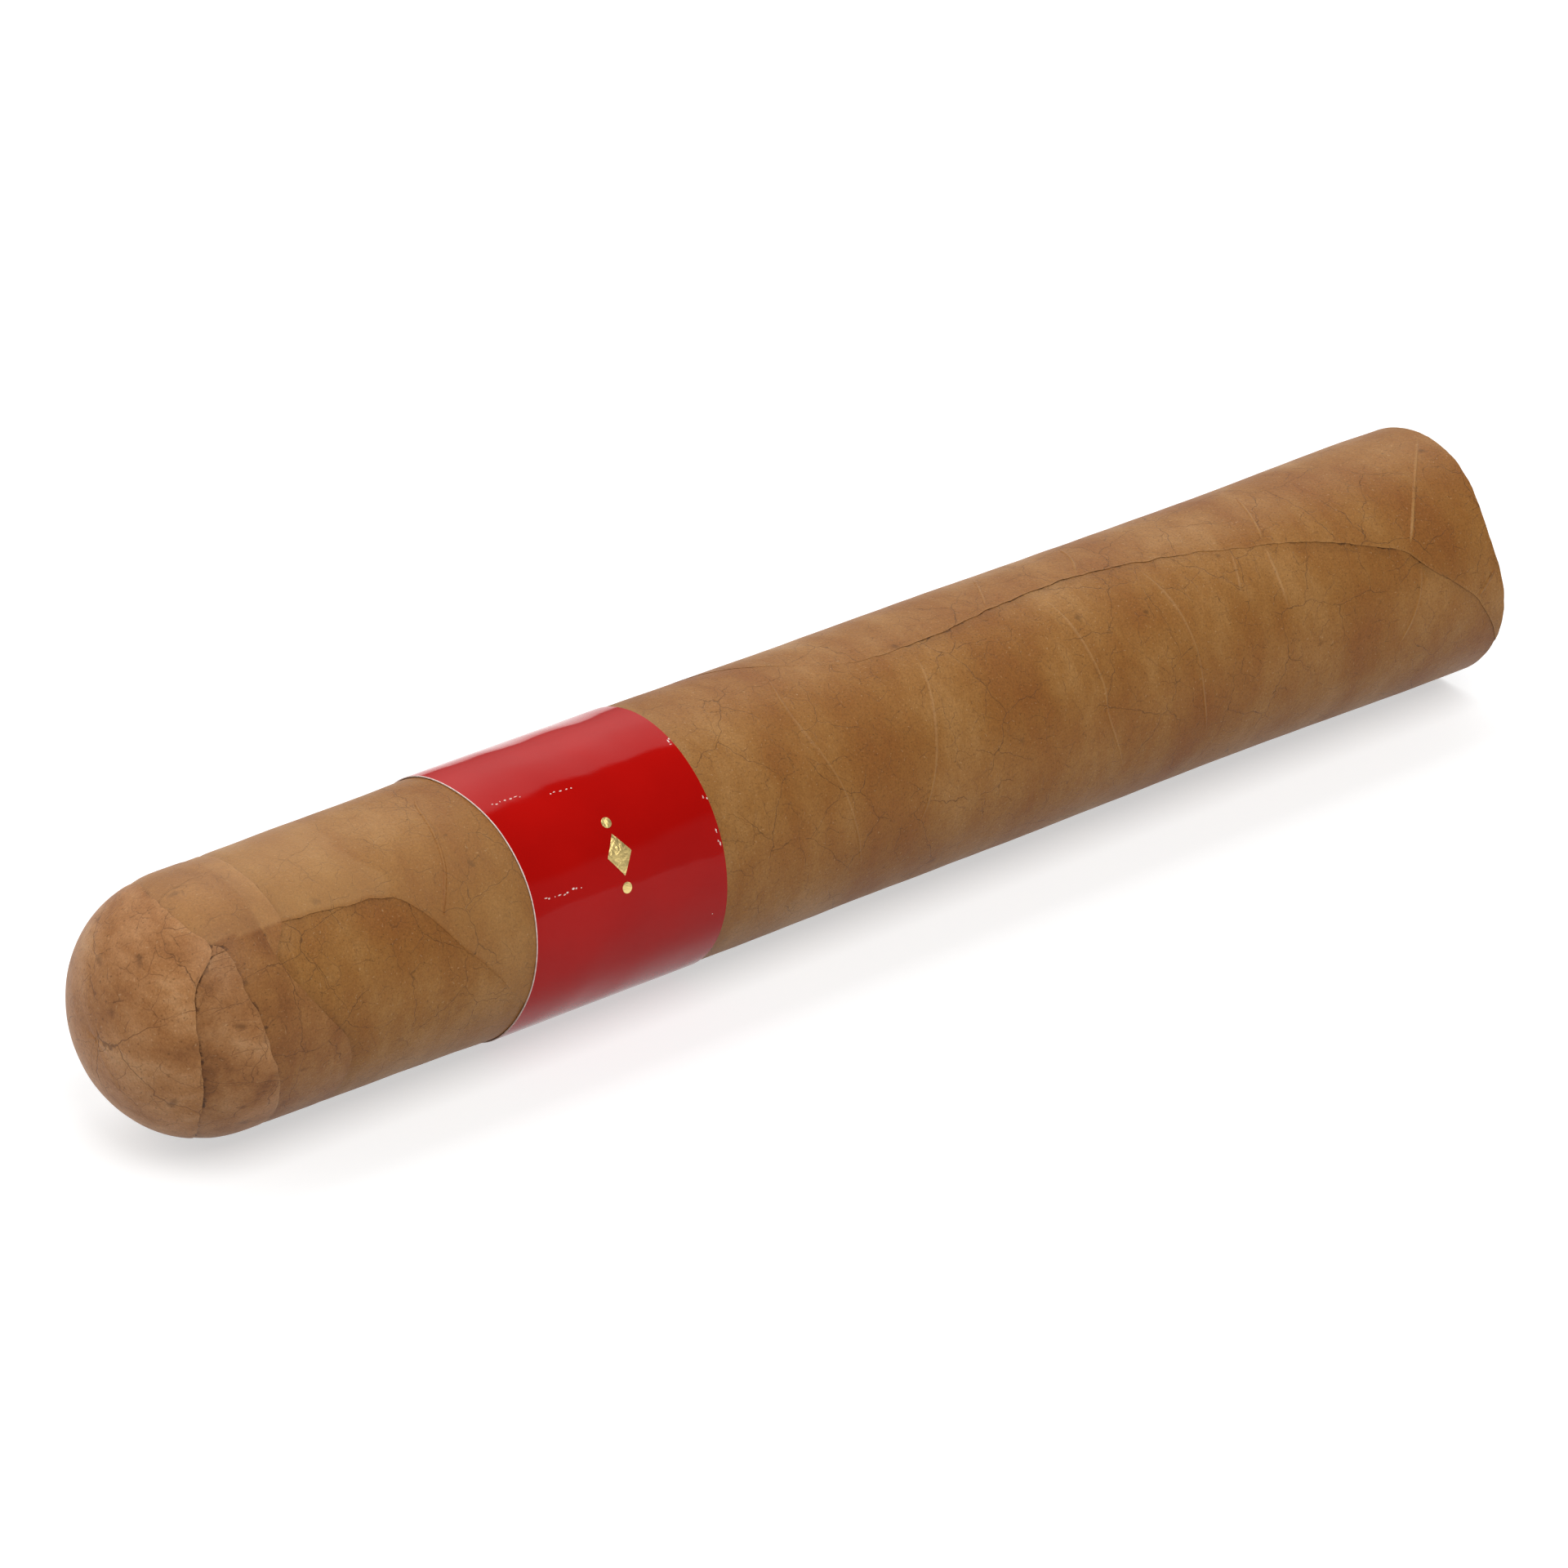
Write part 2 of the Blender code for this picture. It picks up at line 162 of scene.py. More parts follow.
def cured_leaf(
    name,
    tones,
    crack_and_shade,
    mottle=9.0 * MM,
    cracks=5.5 * MM,
    crazing=0.0,
    stains=(8.0 * MM, 0.34 * MM),
    gum_and_shade_width=1.0 * MM,
    gum_and_shade=0.3,
):
    """Cured tobacco leaf, air-dried and pressed: a matt brown, cloudy from drying, with pores, short pale
    fibres, a few dark spots and a broken net of hairline cracks. The mesh gives each point's place on the
    flat leaf, and may mark where the leaf is pale, a vein's crest, its own cut rim, the groove where
    another leaf's edge lies on it, and how open that edge is. The rim takes a painted highlight, the groove
    darkened gum with painted shade, and an open edge a painted shadow line in the gap under it. Rim and
    groove fall from 1 to 0 over EDGE_FADE. A Map Range lists its value, the two ends that it goes from and
    the two that it goes to. A colour Mix takes its factor on input 0 and its colours on 6 and 7, and gives
    its result on output 2."""
    made, tree = new_material(name)
    place = add_node(tree, "TexCoord").outputs["Object"]
    flat = add_node(tree, "Attribute", attribute_name="leaf").outputs["Vector"]

    # Clouds, drawn out along the side veins, which run round the barrel
    drawn = add_node(tree, "VectorMath", [flat, (1.3 / mottle, 0.75 / mottle, 0.0)], operation="MULTIPLY")
    clouds = add_node(
        tree,
        "TexNoise",
        {"Vector": drawn, "Scale": 1.0, "Detail": 6.0, "Roughness": 0.62},
        noise_dimensions="2D",
    )
    shades = [(0.30 + 0.40 * k / (len(tones) - 1), linear(tone)) for k, tone in enumerate(tones)]
    cloudy = add_node(tree, "ValToRGB", [clouds], stops=shades)

    # Grain about 0.16 mm, and pores 0.1 mm wide about 0.5 mm apart, coarser than real so that they show
    grain = add_node(
        tree, "TexNoise", {"Vector": place, "Scale": 1 / (0.16 * MM), "Detail": 2.0, "Roughness": 0.7}
    )
    grain_shade = add_node(tree, "MapRange", [grain, 0.3, 0.7, 0.83, 1.17])
    pores = add_node(
        tree, "TexVoronoi", {"Vector": flat, "Scale": 1 / (0.5 * MM)}, voronoi_dimensions="2D"
    )
    pore_depth = add_node(tree, "MapRange", [pores.outputs["Color"], 0.35, 0.75, 1.0, 0.64])
    pore_shade = add_node(tree, "MapRange", [pores, 0.06, 0.13, pore_depth, 1.0])
    shade = add_node(tree, "Math", [grain_shade, pore_shade], operation="MULTIPLY")
    colour = add_node(
        tree, "Mix", {0: 1.0, 6: cloudy, 7: shade}, data_type="RGBA", blend_type="MULTIPLY"
    ).outputs[2]

    # Layers that are painted over this, each with its amount and colour. First fibres and specks, pale and
    # dark: short lengths of the lines where a noise of about 0.5 mm crosses its middle
    layers = []
    for wave, half_line, gate, strength, paint in (
        (0.55 * MM, 0.040, 0.65, 0.34, "#c9a377"),
        (0.45 * MM, 0.045, 0.57, 0.27, crack_and_shade),
    ):
        strand = add_node(
            tree, "TexNoise", {"Vector": flat, "Scale": 1 / wave, "Detail": 0.0}, noise_dimensions="2D"
        )
        on_strand = add_node(tree, "Math", [strand, 0.5, half_line], operation="COMPARE")
        lengths = add_node(
            tree, "TexNoise", {"Vector": flat, "Scale": 2.2 / wave, "Detail": 1.0}, noise_dimensions="2D"
        )
        length_gate = add_node(tree, "MapRange", [lengths, gate, gate + 0.12, 0.0, strength])
        fibre = add_node(tree, "Math", [on_strand, length_gate], operation="MULTIPLY")
        layers.append((fibre, paint))

    # Cracks: the edges of cells of that width, and of cells a third as wide, a little crooked and shown
    # only in patches. Their hairlines are drawn up to 0.08 mm wide, coarser than real so that they show
    wander, ragged, breaks = [
        add_node(
            tree, "TexNoise", {"Vector": flat, "Scale": 1 / wave, "Detail": finer}, noise_dimensions="2D"
        )
        for wave, finer in ((1.6 * MM, 3.0), (0.5 * MM, 3.0), (1.7 * MM, 2.0))
    ]
    bend = add_node(
        tree, "VectorMath", [wander.outputs["Color"], (1.1 * MM, 1.1 * MM, 0.0)], operation="MULTIPLY"
    )
    bent = add_node(tree, "VectorMath", [flat, bend], operation="ADD")
    nets = []
    for cell, half_width, gate, strength in (
        (cracks, 0.038 * MM, 0.46, 0.54),
        (0.3 * cracks, 0.030 * MM, 0.51, 0.42),
    ):
        net = add_node(
            tree,
            "TexVoronoi",
            {"Vector": bent, "Scale": 1 / cell},
            feature="DISTANCE_TO_EDGE",
            voronoi_dimensions="2D",
        )
        half_line = half_width / cell
        line = add_node(tree, "MapRange", [net, 0.4 * half_line, half_line, strength, 0.0])
        patches = add_node(
            tree,
            "TexNoise",
            {"Vector": flat, "Scale": 1 / (1.3 * cell), "Detail": 2.0},
            noise_dimensions="2D",
        )
        opened = add_node(tree, "MapRange", [patches, gate - crazing, gate - crazing + 0.08])
        nets.append(add_node(tree, "Math", [line, opened], operation="MULTIPLY"))
    cracked = add_node(tree, "Math", nets, operation="MAXIMUM")

    # Dark spots of that radius, in some of the cells of a wider pattern
    spot_gap, spot_radius = stains
    radius = spot_radius / spot_gap
    spots = add_node(tree, "TexVoronoi", {"Vector": bent, "Scale": 1 / spot_gap}, voronoi_dimensions="2D")
    spot_pick = add_node(tree, "MapRange", [spots.outputs["Color"], 0.55, 0.75, 0.0, 0.45])
    spot = add_node(tree, "MapRange", [spots, 0.3 * radius, radius, spot_pick, 0.0])
    layers.append((add_node(tree, "Math", [cracked, spot], operation="MAXIMUM"), crack_and_shade))

    # What the mesh marks: pale leaf, vein crests, a painted highlight on the cut rim, and darkened gum
    # with painted shade where another leaf's edge lies on it
    openness = add_node(tree, "Attribute", attribute_name="open").outputs["Fac"]
    for mark, none, strength, paint in (
        ("pale", 0.0, 0.34, "#ba905f"),
        ("crest", 0.15, 0.34, "#c0945f"),
        ("rim", 1.0 - 0.25 * MM / EDGE_FADE, 0.10, "#be9160"),
        ("groove", 1.0 - gum_and_shade_width / EDGE_FADE, gum_and_shade, crack_and_shade),
    ):
        level = add_node(tree, "Attribute", attribute_name=mark).outputs["Fac"]
        share = add_node(tree, "MapRange", [level, none, 1.0, 0.0, strength])
        # The groove's darkened gum and painted shade grow as the edge over it stands open
        if mark == "groove":
            share = add_node(tree, "Math", [share, openness], operation="MULTIPLY")
        layers.append((share, paint))

    # Painted shadow in the gap under a lifted edge: a dark ragged line about 0.1 mm wide, broken here and
    # there
    shift = add_node(
        tree, "MapRange", [ragged, 0.25, 0.75, -0.16 * MM / EDGE_FADE, 0.10 * MM / EDGE_FADE]
    )
    unbroken = add_node(tree, "MapRange", [breaks, 0.42, 0.56, 0.10, 1.0])
    groove = add_node(tree, "Attribute", attribute_name="groove").outputs["Fac"]
    shifted = add_node(tree, "Math", [groove, shift], operation="ADD")
    shadowed_gap_ends = [1.0 - 0.15 * MM / EDGE_FADE, 1.0 - 0.06 * MM / EDGE_FADE]
    shadowed_gap_line = add_node(tree, "MapRange", [shifted, *shadowed_gap_ends])
    lifted = add_node(tree, "Math", [shadowed_gap_line, openness], operation="MULTIPLY")
    shadowed_gap = add_node(tree, "Math", [lifted, unbroken], operation="MULTIPLY")
    layers.append((shadowed_gap, crack_and_shade))
    for share, paint in layers:
        colour = add_node(tree, "Mix", {0: share, 6: colour, 7: linear(paint)}, data_type="RGBA").outputs[2]

    # Relief: 0.06 mm of grain and crumple, sunk along the cracks and gaps
    crumple = add_node(
        tree, "TexNoise", {"Vector": place, "Scale": 1 / (1.4 * MM), "Detail": 3.0, "Roughness": 0.6}
    )
    relief = add_node(tree, "Math", [crumple, 2.0, grain], operation="MULTIPLY_ADD")
    sunk = add_node(tree, "Math", [cracked, shadowed_gap], operation="MAXIMUM")
    height = add_node(tree, "Math", [relief, sunk], operation="SUBTRACT")
    bump = add_node(tree, "Bump", {"Height": height, "Strength": 0.5, "Distance": 0.06 * MM})
    rough = add_node(tree, "MapRange", [clouds, 0.0, 1.0, 0.55, 0.39])
    surface = add_node(
        tree,
        "BsdfPrincipled",
        {"Base Color": colour, "Roughness": rough, "IOR": 1.45, "Specular IOR Level": 0.24, "Normal": bump},
    )
    add_node(tree, "OutputMaterial", {"Surface": surface})
    return made


def thin_sheet(name, outer, inner, materials, closed=False, marks=None, flat=None, margin=0, lined=False):
    """A closed thin sheet between two grids of points, rows by columns. Its rim, as many first columns as
    margin says, and the inner face of a lined sheet take the last material. A closed sheet's last row joins
    its first. marks gives each point's value of an attribute, and flat its place on the sheet laid flat."""
    rows, columns = len(outer), len(outer[0])
    count = rows * columns
    corners = [point for row in outer for point in row] + [point for row in inner for point in row]
    faces = []
    for i in range(rows if closed else rows - 1):
        below = (i + 1) % rows
        for j in range(columns - 1):
            quad = (i * columns + j, i * columns + j + 1, below * columns + j + 1, below * columns + j)
            faces.append(quad)
            faces.append(tuple(count + k for k in reversed(quad)))
    edged = [k for k in range(len(faces)) if k // 2 % (columns - 1) < margin or (lined and k % 2)]
    edged_from = len(faces)
    last = columns - 1
    if closed:
        edges = [(i * columns + last, ((i + 1) % rows) * columns + last) for i in range(rows)]
        edges += [(((i + 1) % rows) * columns, i * columns) for i in range(rows)]
    else:
        edges = [(j + 1, j) for j in range(last)]
        edges += [(i * columns + last, (i - 1) * columns + last) for i in range(1, rows)]
        edges += [((rows - 1) * columns + j, (rows - 1) * columns + j + 1) for j in range(last)]
        edges += [(i * columns, (i + 1) * columns) for i in range(rows - 1)]
    faces += [(a, b, count + b, count + a) for a, b in edges]
    mesh = bpy.data.meshes.new(name)
    mesh.from_pydata(corners, [], faces)
    for material in materials:
        mesh.materials.append(material)
    for k in edged + list(range(edged_from, len(faces))):
        mesh.polygons[k].material_index = len(materials) - 1
    for mark, values in (marks or {}).items():
        layer = mesh.attributes.new(mark, "FLOAT", "POINT")
        layer.data.foreach_set("value", values + values)
    if flat:
        layer = mesh.attributes.new("leaf", "FLOAT_VECTOR", "POINT")
        layer.data.foreach_set("vector", [part for spot in flat + flat for part in spot])
    form = bmesh.new()
    form.from_mesh(mesh)
    bmesh.ops.remove_doubles(form, verts=form.verts, dist=WELD_DISTANCE)
    bmesh.ops.recalc_face_normals(form, faces=form.faces)
    form.to_mesh(mesh)
    form.free()
    mesh.shade_smooth()
    mesh.set_sharp_from_angle(angle=SHARP_ANGLE)
    return placed(name, mesh)


def foot_cut(angle):
    """How far the hand-cut foot falls short at that angle. It dips about a millimetre on one side."""
    off = math.remainder(angle - FOOT_DIP_ANGLE, 2 * math.pi) / FOOT_DIP_SPREAD
    ragged = sum(deep * noise_round(angle, fine, seed) for fine, deep, seed in FOOT_NICKS)
    return FOOT_DIP * math.exp(-off * off) - FOOT_PROUD + FOOT_RAGGED * (0.5 + 0.5 * ragged)


def filler_path(leaf):
    """Centreline of one folded leaf across the bunch, in its own plane."""
    runs = FILLER_RUNS * len(FILLER_ORDER)
    pitch = 2 * BUNCH_RADIUS / (runs + 1)
    flat = []
    way = 1 if leaf % 2 else -1
    for run in range(FILLER_RUNS):
        level = (FILLER_RUNS * leaf + run - (runs - 1) / 2) * pitch
        half = math.sqrt(BUNCH_RADIUS**2 - (abs(level) + pitch / 2) ** 2) - pitch / 2
        cells = max(4, round(2 * half / FILLER_STEP))
        flat += [(way * (2 * half * i / cells - half), level) for i in range(cells + 1)]
        if run < FILLER_RUNS - 1:
            flat.append((way * (half + pitch * FILLER_FOLD), level + pitch / 2))
        way = -way
    path = []
    for y, z in flat:
        for height, length, phase in FILLER_WAVES:
            z += height * math.sin(2 * math.pi * y / length + phase)
        z += FILLER_CRUMPLE * noise.noise(Vector((y / FILLER_CRUMPLE_LENGTH, leaf * 7.3, 0.0)))
        share = math.hypot(y, z) / BUNCH_RADIUS
        if share > BUNCH_PRESSED:
            rest = 1.0 - BUNCH_PRESSED
            share = 1.0 - rest * math.exp(-(share - BUNCH_PRESSED) / rest)
        angle = math.atan2(z, y) + BUNCH_TURN + BUNCH_SWIRL * (1.0 - share * share)
        path.append(Vector((math.cos(angle), math.sin(angle))) * share * BUNCH_RADIUS)
    return path


def make_filler(leaf, material):
    """One folded leaf that runs from the head to its ragged end just inside the cut foot."""
    name = FILLER_ORDER[leaf]
    path = filler_path(leaf)
    sides = {1: [], -1: []}
    flat = []
    run = 0.0
    for i, here in enumerate(path):
        run += (here - path[max(i - 1, 0)]).length
        along = path[min(i + 1, len(path) - 1)] - path[max(i - 1, 0)]
        across = Vector((-along.y, along.x)).normalized() * FILLER_THICKNESS / 2
        share = min(here.length / BUNCH_RADIUS, 1.0)
        head = SHOULDER_X + BUNCH_SHOULDER - BUNCH_HEAD * math.sqrt(1.0 - share * share)
        ragged = noise.noise(Vector((here.x, here.y, 2.0 * MM * leaf)) / FILLER_RAGGED_LENGTH)
        short = FILLER_SHORT + FILLER_RAGGED * (0.5 + 0.5 * ragged)
        short += foot_cut(math.atan2(-here.x, here.y)) * share
        stations = ((head, 1.0), (FOOT_X - FLARE_LENGTH, 1.0), (FOOT_X - short, 1.0 + BUNCH_FLARE))
        flat += [(x, run, 0.0) for x, _ in stations]
        for side, rows in sides.items():
            spot = here + across * side
            rows.append([Vector((x, spot.x * scale, AXIS_Z + spot.y * scale)) for x, scale in stations])
    made = thin_sheet(name + "_leaf", sides[1], sides[-1], [material], flat=flat)
    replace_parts(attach(made, "cigar"), name)


# Filler leaf of three strengths: the higher on the plant it grew, the thicker and darker it cures, so the
# cut foot shows pale, middling and nearly black edges side by side
filler_leaf = {
    kind: cured_leaf("cured_" + kind + "_leaf", tones, crack_and_shade, mottle=3.0 * MM)
    for kind, tones, crack_and_shade in (
        ("volado", ("#6a4526", "#82592f", "#9a6f3f"), "#3a2413"),
        ("seco", ("#54341b", "#6b4525", "#835a31"), "#2c1a0d"),
        ("ligero", ("#38210f", "#4c2f18", "#634022"), "#1d1008"),
    )
}
for number, filler_name in enumerate(FILLER_ORDER):
    make_filler(number, filler_leaf[filler_name.split("_")[1]])

# Binders: two half leaves, coarser than the wrapper, wound one over the other round the bunch to hold it.
# Each laps over its own start. They show only as two brown rings at the cut foot.
HEAD_RADIUS = 9.75 * MM
HEAD_FULLNESS = 2.2  # 2 is an ellipse, more is a blunter head
BARREL_PROFILE = (
    (9.2, 9.75), (19.0, 9.82), (27.0, 9.90), (32.0, 9.985), (50.0, 9.985), (58.0, 9.95), (68.0, 9.91),
    (79.0, 9.92), (91.0, 9.85), (109.0, 9.85), (117.0, 9.96), (123.0, 10.06), (127.0, 10.02),
)
BAND_X = (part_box("band")[0].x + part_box("band")[1].x) / 2
BAND_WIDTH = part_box("band")[1].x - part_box("band")[0].x
BAND_RADIUS = 10.10 * MM
UNDERSIDE_FLAT = BAND_RADIUS - AXIS_Z
FLAT_SOFTNESS = 0.05 * MM
FOOT_ZONE = 6.0 * MM  # the leaves are drawn to the hand-cut foot over this length
WRAPPER_THICKNESS = 0.045 * MM
BINDER_THICKNESS = 0.15 * MM
BINDER_STARTS = (("binder_outer", math.radians(20.0)), ("binder_inner", math.radians(200.0)))
BINDER_LAP = math.radians(38.0)
BINDER_LIFT = 0.16 * MM
BINDER_HOLE = 3.8 * MM
BINDER_GAP = 0.05 * MM
BINDER_TWIST = math.radians(130.0)
BINDER_SHORT = 0.10 * MM
BINDER_TURN_STEP = math.radians(4.0)
BINDER_STEP = 2.0 * MM
UNDER_CAPS = 0.75 * MM  # how deep the binders lie under the cap leaves, as far as this reach
UNDER_CAPS_REACH = 13.0 * MM
UNDER_CAPS_BLEND = 4.0 * MM
LEAF_MARKS = ("pale", "rim", "groove", "open")


def through(points, at):
    """The height at that place of a smooth curve through points given as (place, height)."""
    slopes = [(b[1] - a[1]) / (b[0] - a[0]) for a, b in zip(points, points[1:])]
    last = len(slopes) - 1
    i = sum(at > point[0] for point in points[1:-1])
    (x0, y0), (x1, y1) = points[i], points[i + 1]
    width = x1 - x0
    t = min(max((at - x0) / width, 0.0), 1.0)
    before = (slopes[max(i - 1, 0)] + slopes[i]) / 2 * width
    after = (slopes[i] + slopes[min(i + 1, last)]) / 2 * width
    rise = y1 - y0
    return y0 + before * t + (3 * rise - 2 * before - after) * t**2 + (before + after - 2 * rise) * t**3


def skin(reach):
    """Point and outward normal, each (along X, radial), of the cigar's skin at a reach from the tip."""
    if reach >= HEAD_DEPTH:
        return TIP_X + reach, through(BARREL_PROFILE, reach / MM) * MM, 0.0, 1.0
    turn = max(reach, 0.0) / HEAD_DEPTH * math.pi / 2
    along, out = math.cos(turn), math.sin(turn)
    power = 2.0 / HEAD_FULLNESS
    slope = 2.0 - power
    normal = Vector((-(along**slope) / HEAD_DEPTH, out**slope / HEAD_RADIUS)).normalized()
    return SHOULDER_X - HEAD_DEPTH * along**power, HEAD_RADIUS * out**power, normal.x, normal.y


def round_axis(x, radius, angle):
    """The point at x, that far from the axis and that far round it. Below, the barrel is pressed flat."""
    z = radius * math.cos(angle)
    flat = UNDERSIDE_FLAT * eased((x - SHOULDER_X) / (BAND_X - BAND_WIDTH / 2 - SHOULDER_X)) - radius
    share = min(max(0.5 + 0.5 * (z - flat) / FLAT_SOFTNESS, 0.0), 1.0)
    z = flat + (z - flat) * share + FLAT_SOFTNESS * share * (1.0 - share)
    return Vector((x, -radius * math.sin(angle), AXIS_Z + z))


def on_skin(reach, angle, height=0.0):
    """The point that height above the skin. The last few millimetres end at the hand-cut foot."""
    x, radius, along, out = skin(reach)
    short = foot_cut(angle) * eased((reach - LENGTH + FOOT_ZONE) / FOOT_ZONE)
    return round_axis(x + along * height - short, radius + out * height, angle)


def skin_leaf(name, places, thickness, materials, closed=False):
    """A leaf that lies on the skin, from a grid of places given as (reach, angle, height, marks)."""
    outer, inner = [
        [[on_skin(reach, angle, height - depth) for reach, angle, height, _ in row] for row in places]
        for depth in (0.0, thickness)
    ]
    marks = {mark: [place[3].get(mark, 0.0) for row in places for place in row] for mark in LEAF_MARKS}
    flat = []
    for row in places:
        for reach, angle, _, _ in row:
            if closed:
                flat.append((reach * math.cos(angle), reach * math.sin(angle), 0.0))
            else:
                flat.append((reach, angle * HEAD_RADIUS, 0.0))
    return thin_sheet(name, outer, inner, materials, closed, marks, flat)


def spread(first, last, step):
    """Even places from first to last, about step apart."""
    count = max(1, round((last - first) / step))
    return [first + (last - first) * i / count for i in range(count + 1)]


# Binder leaf: coarse and darker than the wrapper, a plain brown edge between the wrapper and the bunch
binder_leaf = cured_leaf(
    "cured_binder_leaf", ("#5a381d", "#6f4827", "#86592f"), "#2e1b0e", mottle=5.0 * MM
)
binder_depth = WRAPPER_THICKNESS + BINDER_GAP + BINDER_LIFT
for binder, binder_start in BINDER_STARTS:
    binder_places = []
    for wound in spread(0.0, 2 * math.pi + BINDER_LAP, BINDER_TURN_STEP):
        lift = BINDER_LIFT * eased((wound - 2 * math.pi + BINDER_LAP) / BINDER_LAP)
        row = []
        for reach in spread(BINDER_HOLE, LENGTH - BINDER_SHORT, BINDER_STEP):
            angle = binder_start - BINDER_TWIST * reach / LENGTH - wound
            covered = UNDER_CAPS * (1.0 - eased((reach - UNDER_CAPS_REACH) / UNDER_CAPS_BLEND))
            row.append((reach, angle, lift - binder_depth - covered, {}))
        binder_places.append(row)
    binder_piece = skin_leaf(binder + "_leaf", binder_places, BINDER_THICKNESS, [binder_leaf])
    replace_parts(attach(binder_piece, "cigar"), binder)
    binder_depth += BINDER_THICKNESS + BINDER_GAP + BINDER_LIFT

# Wrapper: one half of a fine, even leaf, cut to a strip and wound in a spiral from foot to head, gummed
# down at its end. Its visible edge climbs from the foot's front to the top, passes round behind, and comes
# out from under the band again. Its paler end lies over the head as a flag.
WRAPPER_LAP = math.radians(34.0)
WRAPPER_RAMP = math.radians(24.0)
WRAPPER_LIFT = WRAPPER_THICKNESS + 0.005 * MM
WRAPPER_FLUSH = 0.04  # share of the lift that is left where the edge is gummed flush
WRAPPER_HOLE = 3.4 * MM
WRAPPER_TURN_STEP = math.radians(2.1)
WRAPPER_STEP = 0.45 * MM
SLANT_STEPS = 8  # the edge's slant is taken over this many steps each way

# The visible edge: distance from the foot in millimetres and angle in degrees, then how open it is there
WRAPPER_EDGE = (
    (0.0, 117.0), (1.1, 104.0), (2.8, 87.5), (5.5, 73.8), (7.9, 61.8), (8.6, 56.2), (9.5, 53.4),
    (16.0, 37.5), (20.6, 29.5), (37.0, 10.5), (46.0, 12.0), (52.0, 15.0), (61.0, 11.0), (68.0, -20.0),
    (95.8, -247.0), (99.4, -273.0), (101.9, -289.5), (104.7, -312.0), (106.1, -317.2), (109.8, -319.6),
    (114.8, -322.8), (119.0, -324.5), (127.0, -330.0),
)
EDGE_OPEN = (
    (0.0, 0.35), (3.0, 0.60), (9.0, 0.85), (17.0, 0.80), (20.0, 0.35), (28.0, 0.40), (34.0, 0.90),
    (42.0, 1.00), (52.0, 0.90), (56.0, 0.35), (60.0, 0.00), (65.0, 0.05), (72.0, 0.30), (96.0, 0.20),
    (103.0, 0.15), (106.0, 0.60), (114.0, 0.45), (127.0, 0.45),
)
EDGE_WAVERS = ((4.0 * MM, 0.015, 3.7), (1.1 * MM, 0.020, 1.2))  # length, radians and a seed
OPEN_PATCH = 1.6 * MM
# The painted highlight on the wrapper's cut rim shows only where its edge is at least this open
RIM_SHOWS = 0.1  # how open the edge has to be for its cut rim to show

# The flag's end: angle in degrees and reach in millimetres
FLAG_END = (
    (-60.0, 20.5), (-4.0, 20.4), (14.0, 20.0), (24.0, 20.6), (32.0, 21.5), (44.0, 21.2), (90.0, 21.2),
)
FLAG_CRISP = 0.3 * MM
FLAG_BEYOND = 0.48  # how pale the leaf still is past the flag's end
FLAG_ROUND = (1.2, 0.8)  # radians round from the edge to where it starts to darken, and over which
FLAG_ALONG = (34.0 * MM, 10.0 * MM)  # the same, as reaches
LUMP = 0.058 * MM
LUMP_WAVES = ((8.0 * MM, 1.0), (2.6 * MM, 0.4))  # length and share of the height
LUMP_PRESSED = 0.6
LUMP_BLEND = 4.0 * MM
CAP_THICKNESS = 0.032 * MM
CAP_GAP = 0.008 * MM
CAP_LAP = math.radians(100.0)
CAP_BLEND = 1.1 * MM
CAP_ZONE = 19.0 * MM
CAP_WAVERS = ((2.2, 0.12), (11.0, 0.09))  # how fine round the head, and millimetres

# The cap leaves' cut edges: angle in degrees, or for the strip degrees along its winding, and reach in
# millimetres
DISC_EDGE = (
    (-90.0, 7.4), (-24.0, 7.8), (-9.0, 7.3), (8.0, 7.05), (24.0, 7.2), (34.0, 7.55), (40.0, 7.3),
    (50.0, 6.1), (62.0, 5.6), (80.0, 5.45), (103.0, 5.6), (129.0, 5.9), (151.0, 6.7), (210.0, 7.0),
    (270.0, 7.4),
)
MIDDLE_EDGE = (
    (-90.0, 8.6), (-30.0, 7.6), (0.0, 6.7), (24.0, 6.8), (33.0, 7.4), (39.0, 8.0), (59.0, 8.1),
    (72.0, 8.4), (98.0, 9.0), (125.0, 9.8), (180.0, 9.6), (270.0, 8.6),
)
LOWER_START = 52.0
LOWER_STRIP = (
    (0.0, 10.2), (6.0, 11.0), (14.0, 12.1), (24.0, 12.3), (50.0, 12.3), (72.0, 12.6), (150.0, 12.6),
    (215.0, 12.8), (265.0, 14.8), (301.0, 15.6), (317.0, 15.0), (331.0, 13.2), (348.0, 11.4),
    (356.0, 10.8), (362.0, 10.5), (374.0, 10.4), (386.0, 10.6), (399.0, 10.7), (440.0, 11.2),
    (460.0, 11.2),
)


def wrapper_edge(reach):
    """Angle of the wrapper's visible edge, a hand-cut edge that wavers a little."""
    angle = math.radians(through(WRAPPER_EDGE, (LENGTH - reach) / MM))
    for length, swing, seed in EDGE_WAVERS:
        angle += swing * noise.noise(Vector((reach / length, seed, 0.0)))
    return angle


def edge_open(reach):
    """How far the wrapper's edge has come away there: 0 where it is gummed flush, and 1 where it gapes. It
    also sets how strong the painted shade and painted shadow line under that edge are.
    """
    patchy = 0.75 + 0.75 * noise.noise(Vector((reach / OPEN_PATCH, 8.1, 0.0)))
    return min(max(through(EDGE_OPEN, (LENGTH - reach) / MM) * patchy, 0.0), 1.0)


def wrapper_lift(reach):
    """How far the wrapper's outer layer stands above the layer that it laps over."""
    return WRAPPER_LIFT * (WRAPPER_FLUSH + (1.0 - WRAPPER_FLUSH) * edge_open(reach) ** 0.5)


